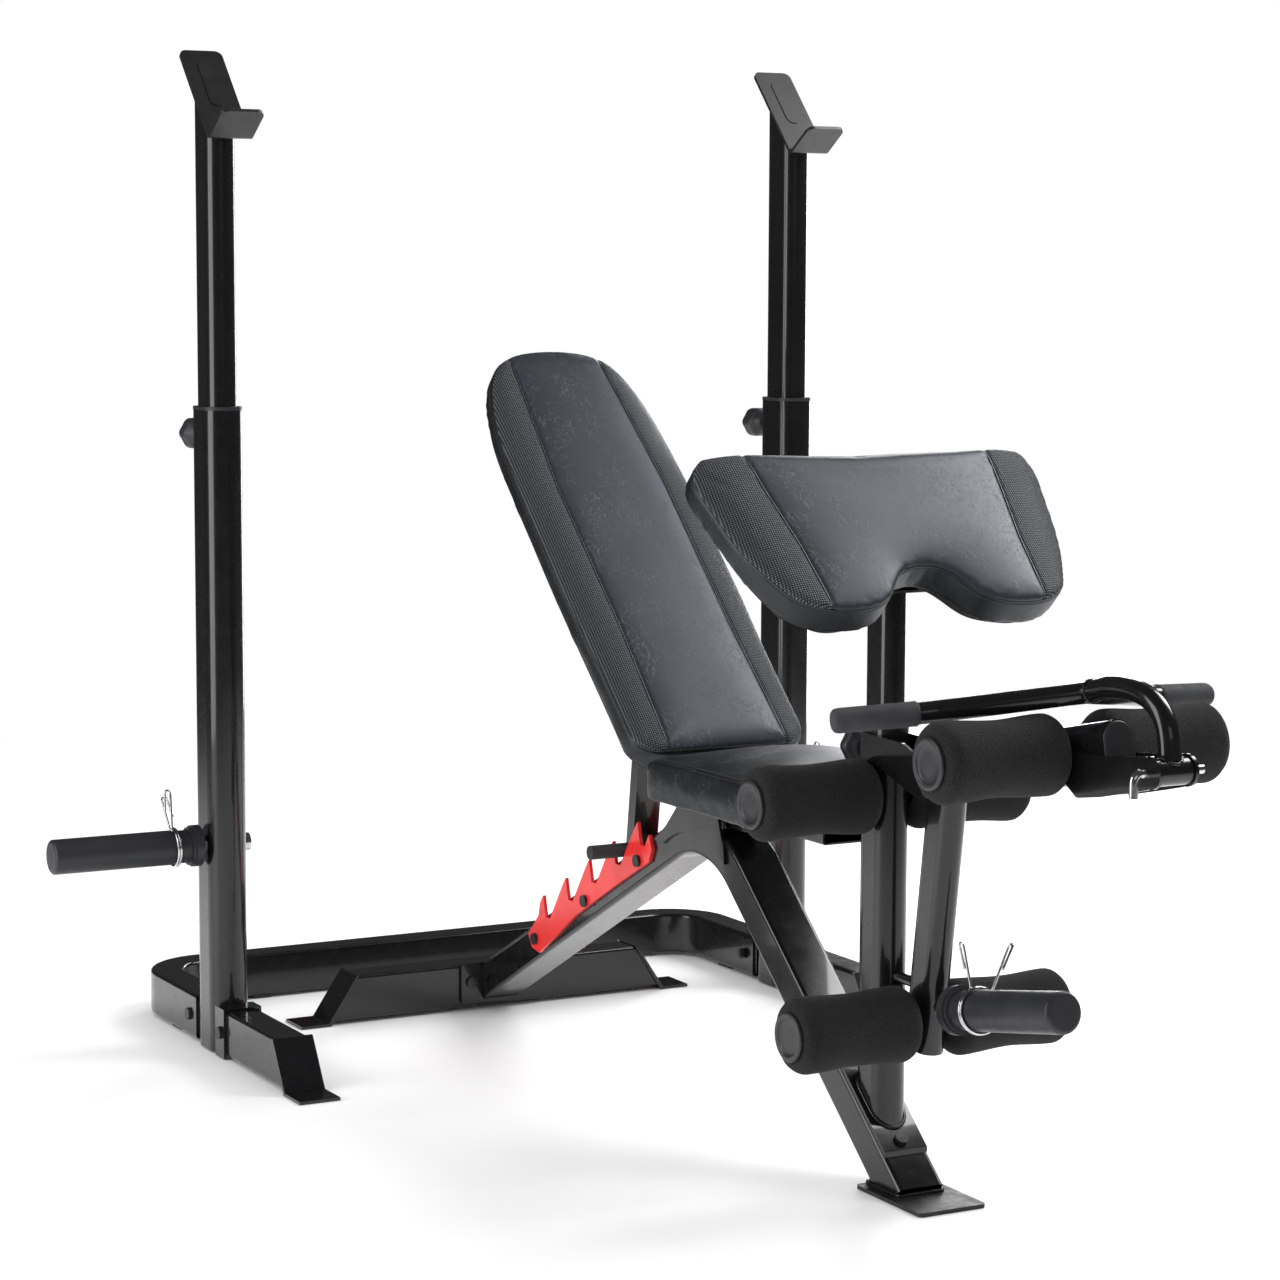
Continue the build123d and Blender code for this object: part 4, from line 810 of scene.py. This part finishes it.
def weld_feet():
    """Beads round the main frame's foot on its plate, and round the leg post's foot on the frame."""
    run, corner, corner_steps, above, size = 0.0767, 0.006, 6, 0.0012, 0.0026
    leg_low, leg_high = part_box("main_frame")
    plate_low, plate_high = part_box("front_foot_plate")
    ring = []
    for quarter in range(4):
        corner_x = (leg_high.x - corner) * (1 if quarter in (0, 3) else -1)
        corner_y = leg_low.y + run / 2 + (run / 2 - corner) * (1 if quarter in (0, 1) else -1)
        for k in range(corner_steps + 1):
            a = math.pi / 2 * (quarter + k / corner_steps)
            x, y = corner_x + corner * math.cos(a), corner_y + corner * math.sin(a)
            ring.append((x, y, plate_high.z + above))
    weld("front_foot_weld", ring, size, "bench")
    width, depth, post_y, slope, lift = 0.0455, 0.0685, -0.391, 0.8594, 0.0076
    post_low, post_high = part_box("leg_post")
    foot = oval_ring((0, post_y), width, depth, lambda y: post_low.z + lift + slope * (y - post_low.y))
    weld("post_foot_weld", foot, size, "bench")


# ---------------------------------------------------------------- lines on a surface
def contour(mesh, level):
    """Chains of points where level(points) changes sign along the mesh, each (points, closed)."""
    points = points_of(mesh)
    value = level(points)
    value[value == 0] = 1e-9
    ends = np.zeros(len(mesh.edges) * 2, int)
    mesh.edges.foreach_get("vertices", ends)
    ends = ends.reshape(-1, 2)
    crossed = np.nonzero(value[ends[:, 0]] * value[ends[:, 1]] < 0)[0]
    first, second = ends[crossed, 0], ends[crossed, 1]
    share = (value[first] / (value[first] - value[second]))[:, None]
    spots = dict(zip(crossed.tolist(), points[first] * (1 - share) + points[second] * share))
    links = {edge: [] for edge in spots}
    for polygon in mesh.polygons:
        cut = [mesh.loops[k].edge_index for k in polygon.loop_indices]
        cut = [edge for edge in cut if edge in spots]
        if len(cut) == 2:
            links[cut[0]].append(cut[1])
            links[cut[1]].append(cut[0])
    chains, used = [], set()
    starts = [e for e in links if len(links[e]) == 1] + list(links)
    for start in starts:
        if start in used:
            continue
        chain, edge = [], start
        while edge is not None:
            used.add(edge)
            chain.append(spots[edge])
            onward = [e for e in links[edge] if e not in used]
            edge = onward[0] if onward else None
        closed = len(links[start]) == 2 and len(chain) > 8
        chains.append((np.array(chain), closed))
    return chains


def even(points, step, closed=False, rounds=6):
    """The same line with evenly spaced points, a little smoothed."""
    if closed:
        points = np.vstack([points, points[:1]])
    length = np.concatenate([[0], np.cumsum(np.linalg.norm(np.diff(points, axis=0), axis=1))])
    count = max(4, int(length[-1] / step))
    at = np.linspace(0, length[-1], count + 1)
    line = np.stack([np.interp(at, length, points[:, k]) for k in range(3)], 1)
    if closed:
        line = line[:-1]
    for _ in range(rounds):
        before, after = np.roll(line, 1, 0), np.roll(line, -1, 0)
        calm = line * 0.5 + (before + after) * 0.25
        if not closed:
            calm[0], calm[-1] = line[0], line[-1]
        line = calm
    return line


def sweep_rings(mesh, line, radius, closed, sides):
    """Adds a round tube along a line of points to a bmesh; radius is a number or one for each point."""
    count = len(line)
    sizes = np.full(count, radius) if np.isscalar(radius) else np.asarray(radius)
    if closed:
        ahead = np.roll(line, -1, 0) - np.roll(line, 1, 0)
    else:
        ahead = np.gradient(line, axis=0)
    ahead /= np.maximum(np.linalg.norm(ahead, axis=1, keepdims=True), 1e-12)
    side = np.cross(ahead[0], (0.0, 0.0, 1.0))
    if np.linalg.norm(side) < 0.1:
        side = np.cross(ahead[0], (0.0, 1.0, 0.0))
    side /= np.linalg.norm(side)
    sides_at = []
    for k in range(count):
        side = side - ahead[k] * (side @ ahead[k])
        side /= np.linalg.norm(side)
        sides_at.append(side)
    if closed:
        last = sides_at[-1] - ahead[0] * (sides_at[-1] @ ahead[0])
        last /= np.linalg.norm(last)
        twist = math.atan2(np.cross(sides_at[0], last) @ ahead[0], sides_at[0] @ last)
    else:
        twist = 0.0
    rows = []
    for k in range(count):
        other = np.cross(ahead[k], sides_at[k])
        row = []
        for j in range(sides):
            a = math.tau * j / sides - twist * k / count
            offset = sides_at[k] * math.cos(a) + other * math.sin(a)
            row.append(mesh.verts.new(line[k] + offset * sizes[k]))
        rows.append(row)
    pairs = list(zip(rows, rows[1:]))
    if closed:
        pairs.append((rows[-1], rows[0]))
    for one, two in pairs:
        for j in range(sides):
            after = (j + 1) % sides
            mesh.faces.new((one[j], one[after], two[after], two[j]))
    if not closed:
        mesh.faces.new(rows[0][::-1])
        mesh.faces.new(rows[-1])


def tube(name, line, radius, closed=False, sides=12):
    mesh = bmesh.new()
    sweep_rings(mesh, np.asarray(line, float), radius, closed, sides)
    return closed_piece(name, mesh)


def stitches(name, lines, length, gap, radius):
    """A row of thread stitches along lines of points."""
    mesh = bmesh.new()
    for line, closed in lines:
        track = even(line, 0.001, closed, 4)
        stride, span = int((length + gap) / 0.001), int(length / 0.001)
        for start in range(0, len(track) - span, stride):
            part = track[start : start + span + 1]
            swell_at = np.sin(np.linspace(0.25, math.pi - 0.25, len(part)))
            sweep_rings(mesh, part, radius * swell_at, False, 6)
    return closed_piece(name, mesh)


# ---------------------------------------------------------------- pads
def bake_modifiers(piece):
    """Turns the modifiers' result into the piece's own mesh."""
    graph = bpy.context.evaluated_depsgraph_get()
    made = bpy.data.meshes.new_from_object(piece.evaluated_get(graph))
    piece.modifiers.clear()
    piece.data = made


def points_of(mesh, what="co"):
    """The vertices' places, or with "normal" their normals."""
    flat = np.zeros(len(mesh.vertices) * 3)
    mesh.vertices.foreach_get(what, flat)
    return flat.reshape(-1, 3)


def put_points(mesh, points):
    mesh.vertices.foreach_set("co", points.ravel())
    mesh.update()


def pad_from(node, name, slope, top_edge=False):
    """A copy of a CAD pad in its own coordinates: x across, y up the face, z out of the face."""
    turn = Matrix.Rotation(slope, 4, "X")
    mesh = NODES[node].data.copy()
    mesh.transform(turn.inverted())
    points = points_of(mesh)
    start = Vector((0, points[:, 1].max() if top_edge else points[:, 1].min(), points[:, 2].max()))
    mesh.transform(Matrix.Translation(-start))
    piece = bpy.data.objects.new(name, mesh)
    bpy.context.scene.collection.objects.link(piece)
    piece.matrix_world = turn @ Matrix.Translation(start)
    return piece


def remesh(piece):
    """Even quads all over, with the steps of the voxels smoothed out."""
    made = piece.modifiers.new("remesh", "REMESH")
    made.mode = "VOXEL"
    made.voxel_size = 0.005
    calm = piece.modifiers.new("calm", "SMOOTH")
    calm.factor = 0.5
    calm.iterations = 4
    bake_modifiers(piece)


def puff(piece, hold):
    """Cloth pressure with held places (0 free to 1 held); no point moves further than about cap."""
    pressure, cap, frames = 4.0, 0.006, 20
    rest = points_of(piece.data)
    weights = np.clip(hold(rest), 0, 1)
    group = piece.vertex_groups.new(name="held")
    for weight in np.unique(np.round(weights, 1)):
        chosen = np.nonzero(np.abs(np.round(weights, 1) - weight) < 0.01)[0].tolist()
        if weight > 0:
            group.add(chosen, float(weight), "REPLACE")
    cloth = piece.modifiers.new("cloth", "CLOTH").settings
    cloth.vertex_group_mass = "held"
    cloth.use_pressure = True
    cloth.uniform_pressure_force = pressure
    cloth.effector_weights.gravity = 0
    scene = bpy.context.scene
    for number in range(1, frames + 1):
        scene.frame_set(number)
    bake_modifiers(piece)
    scene.frame_set(1)
    piece.vertex_groups.clear()
    step = points_of(piece.data) - rest
    length = np.linalg.norm(step, axis=1, keepdims=True)
    put_points(piece.data, rest + step / np.maximum(length, 1e-9) * cap * np.tanh(length / cap))


def subdivide(piece):
    smooth = piece.modifiers.new("subdivision", "SUBSURF")
    smooth.levels = smooth.render_levels = 1
    bake_modifiers(piece)


def crease_in(piece, level, width, depth):
    """Pulls the surface in along the line where level is zero."""
    points, normals = points_of(piece.data), points_of(piece.data, "normal")
    pull = depth * np.exp(-((level(points) / width) ** 2))
    put_points(piece.data, points - normals * pull[:, None])


def wrinkle(piece, scale, height, where):
    """Shallow uneven folds; where gives each point's share."""
    points, normals = points_of(piece.data), points_of(piece.data, "normal")
    share = where(points)
    lift = np.array([noise.noise(Vector(p) * scale) if s > 0.01 else 0.0 for p, s in zip(points, share)])
    put_points(piece.data, points + normals * (lift * share * height)[:, None])


def drop(points, fall, piping):
    """How far the face has sunk at each point: nothing inside the piping, fall[0] at fall[1] outside it."""
    along, half = zip(*piping)
    beyond = np.abs(points[:, 0]) - np.interp(points[:, 1], along, half)
    return fall[0] * np.clip(beyond / fall[1], 0, 1) ** 2


def crown(piece, fall, piping):
    """Sinks the face towards the sides; the back stays where it is."""
    sinking_part = 0.8
    points = points_of(piece.data)
    depth = -points[:, 2].min()
    high = np.clip(1 + points[:, 2] / (depth * sinking_part), 0, 1)
    points[:, 2] -= drop(points, fall, piping) * high
    put_points(piece.data, points)


def near(distance, width):
    """1 on a line, falling off smoothly over width to either side."""
    return np.exp(-((distance / width) ** 2))


def held_places(points, depth, rim, panel=None):
    """How firmly each point is held: the back wholly, the rim seam and the piping nearly so."""
    seam_hold, piping_hold, seam_width, back_start, back_run = 0.9, 0.7, 0.004, 0.006, 0.004
    back = np.clip((-points[:, 2] - depth + back_start) / back_run, 0, 1)
    edge = rim(points)
    share = np.maximum(back, seam_hold * near(edge, seam_width))
    if panel is not None:
        share = np.maximum(share, piping_hold * near(panel(points), seam_width) * (edge > 0))
    return share


def sew(piece, rim, panel):
    """Pulls the cover in along the piping, on the face only, and along the rim seam."""
    off_the_line = 1.0
    crease_in(piece, lambda p: np.where(rim(p) > 0, panel(p), off_the_line), 0.0032, 0.0018)
    crease_in(piece, rim, 0.0022, 0.0012)


def rumple(piece, start, side_folds, all_folds):
    """Folds on the walls below start, and fainter ones all over; each is (scale, height)."""
    wall_run = 0.03
    wrinkle(piece, *side_folds, lambda p: np.clip((-p[:, 2] - start) / wall_run, 0, 1))
    wrinkle(piece, *all_folds, lambda p: np.ones(len(p)))


def seam_pieces(piece, body, prefix, seams):
    """Cords and a row of stitches for each seam of a pad: (name, level, keep, stitch level)."""
    cord_radius, cord_step, shortest = 0.0013, 0.004, 20
    stitch_length, stitch_gap, thread_radius = 0.0032, 0.0016, 0.00042

    def kept(level, keep):
        lines = [(chain[keep(chain)], closed) for chain, closed in contour(piece.data, level)]
        return [(chain, closed) for chain, closed in lines if len(chain) > shortest]

    for tag, level, keep, offset in seams:
        for number, (chain, closed) in enumerate(kept(level, keep)):
            line = even(chain, cord_step, closed)
            cord = tube(f"{prefix}_{tag}_cord_{number}", line, cord_radius, closed, 10)
            cord.matrix_world = piece.matrix_world.copy()
            dress(cord, body, "pad_vinyl", MATERIALS["piping"])
        rows = kept(lambda p: level(p) - offset, keep)
        row = stitches(f"{prefix}_{tag}_stitches", rows, stitch_length, stitch_gap, thread_radius)
        row.matrix_world = piece.matrix_world.copy()
        dress(row, body, "pad_vinyl", MATERIALS["thread"])


def make_backrest():
    """Long tapered cushion with a slate centre, woven side strips and piping."""
    slope = math.radians(43.9)
    piping = [(0.0, 0.091), (0.215, 0.085), (0.35, 0.0855), (0.47, 0.0865), (0.60, 0.079), (0.75, 0.071)]
    length, seam_z, fall, wall_top = 0.76, -0.0085, (0.013, 0.052), 0.02
    along, half = zip(*piping)
    piece = pad_from("backrest_pad", "backrest_cushion", slope)
    remesh(piece)
    depth = -points_of(piece.data)[:, 2].min()
    crown(piece, fall, piping)

    def panel(p):
        return np.abs(p[:, 0]) - np.interp(p[:, 1], along, half)

    def rim(p):
        return p[:, 2] + drop(p, fall, piping) - seam_z

    puff(piece, lambda p: held_places(p, depth, rim, panel))
    subdivide(piece)
    sew(piece, rim, panel)
    rumple(piece, wall_top, (38, 0.0016), (9, 0.0008))
    cover = vinyl("backrest_vinyl", seam_z, piping, length, fall=fall)
    dress(piece, "backrest", "pad_vinyl", cover, ("backrest_pad",))
    seams = [
        ("piping", panel, lambda p: rim(p) > -0.001, 0.0042),
        ("rim", rim, lambda p: p[:, 1] > -1, -0.0045),
    ]
    seam_pieces(piece, "backrest", "backrest", seams)


def make_arm_curl_pad():
    """Wide cushion with a rolled top edge, a central notch, woven ends and piping."""
    slope = math.radians(44.7)
    piping = [(-0.26, 0.150), (-0.15, 0.157), (-0.06, 0.170), (0.0, 0.176)]
    length, seam_z, roll, end_seam, fall = 0.28, -0.0095, -0.064, 0.222, (0.017, 0.078)
    wall_top, flat_z, flat_run, roll_run, piping_end = 0.018, -0.044, 0.003, 0.012, -0.04
    along, half = zip(*piping)
    piece = pad_from("preacher_pad", "arm_curl_cushion", slope, top_edge=True)
    remesh(piece)
    depth = -points_of(piece.data)[:, 2].min()
    crown(piece, fall, piping)

    def panel(p):
        return np.abs(p[:, 0]) - np.interp(p[:, 1], along, half)

    def rim(p):
        face = p[:, 2] + drop(p, fall, piping) - seam_z
        side = end_seam - np.abs(p[:, 0])
        return np.where(p[:, 1] > roll, np.maximum(face, side), face)

    def hold(p):
        """As for any pad, and the flat of the back in front of the rolled edge."""
        below_roll = p[:, 1] < roll - roll_run / 2
        flat = np.clip((flat_z - p[:, 2]) / flat_run, 0, 1) * below_roll
        return np.maximum(flat, held_places(p, depth, rim, panel))

    puff(piece, hold)
    subdivide(piece)
    sew(piece, rim, panel)
    rumple(piece, wall_top, (40, 0.0018), (9, 0.0010))
    strip = [(-y, half_width) for y, half_width in reversed(piping)]
    cover = vinyl("arm_curl_vinyl", seam_z, strip, -length, roll=roll, end_seam=end_seam, fall=fall)
    dress(piece, "arm_curl_support", "pad_vinyl", cover, ("preacher_pad",))
    seams = [
        ("piping", panel, lambda p: (rim(p) > -0.001) & (p[:, 2] > piping_end), 0.0042),
        ("rim", rim, lambda p: p[:, 2] > -1, -0.0045),
    ]
    seam_pieces(piece, "arm_curl_support", "arm_curl", seams)


def make_seat():
    """Crowned seat cushion with a rim seam and sides pulled in between the corners."""
    sunk, tuck, seam_in, seam_end, wall_top, crowned_part = 0.019, 0.004, 0.0125, -0.045, 0.02, 0.7
    piece = pad_from("seat_pad", "seat_cushion", 0.0)
    points = points_of(piece.data)
    half_x, size_y, depth = points[:, 0].max(), points[:, 1].max(), -points[:, 2].min()
    remesh(piece)
    points = points_of(piece.data)
    u = np.abs(points[:, 0]) / half_x
    v = np.abs(points[:, 1] / size_y * 2 - 1)
    high = np.clip((points[:, 2] + depth * crowned_part) / (depth * crowned_part), 0, 1)
    points[:, 2] -= sunk * (1 - (1 - u**2.4) * (1 - v**3)) * high
    points[:, 0] *= 1 - tuck / half_x * (1 - v**2)
    points[:, 1] += np.sign(size_y / 2 - points[:, 1]) * tuck * (1 - u**2) * v**4
    put_points(piece.data, points)

    def rim(p):
        edge = np.minimum(half_x - np.abs(p[:, 0]), np.minimum(p[:, 1], size_y - p[:, 1]))
        return np.where(p[:, 2] > seam_end, edge - seam_in, -1.0)

    puff(piece, lambda p: held_places(p, depth, rim))
    subdivide(piece)
    crease_in(piece, rim, 0.0024, 0.0014)
    rumple(piece, wall_top, (34, 0.0016), (12, 0.0014))
    all_face, no_strips = -1.0, [(0.0, 0.9), (0.4, 0.9)]
    cover = vinyl("seat_vinyl", all_face, no_strips, 0.4, dark=True)
    dress(piece, "bench", "pad_vinyl", cover, ("seat_pad",))
    seams = [("rim", rim, lambda p: p[:, 2] > seam_end, 0.0045)]
    seam_pieces(piece, "bench", "seat", seams)


make_camera()
make_lights()
make_floor()
for node, piece in NODES.items():
    piece.data.materials.clear()
    piece.data.materials.append(MATERIALS.get(SLOT_OF[node], MATERIALS["pad_board"]))
NODES["front_foot_plate"].data.materials[0] = MATERIALS["satin"]
MAKERS = {"_foam": make_roller, "_axle_caps": make_axle_caps, "_knob": make_knob}
for ending, make in MAKERS.items():
    for node in [n for n in NODES if n.endswith(ending)]:
        make(node)
make_rack_clips()
make_front_clip()
make_grips()
make_arm_plug()
weld_hooks()
weld_curl_bar()
weld_feet()
make_backrest()
make_arm_curl_pad()
make_seat()
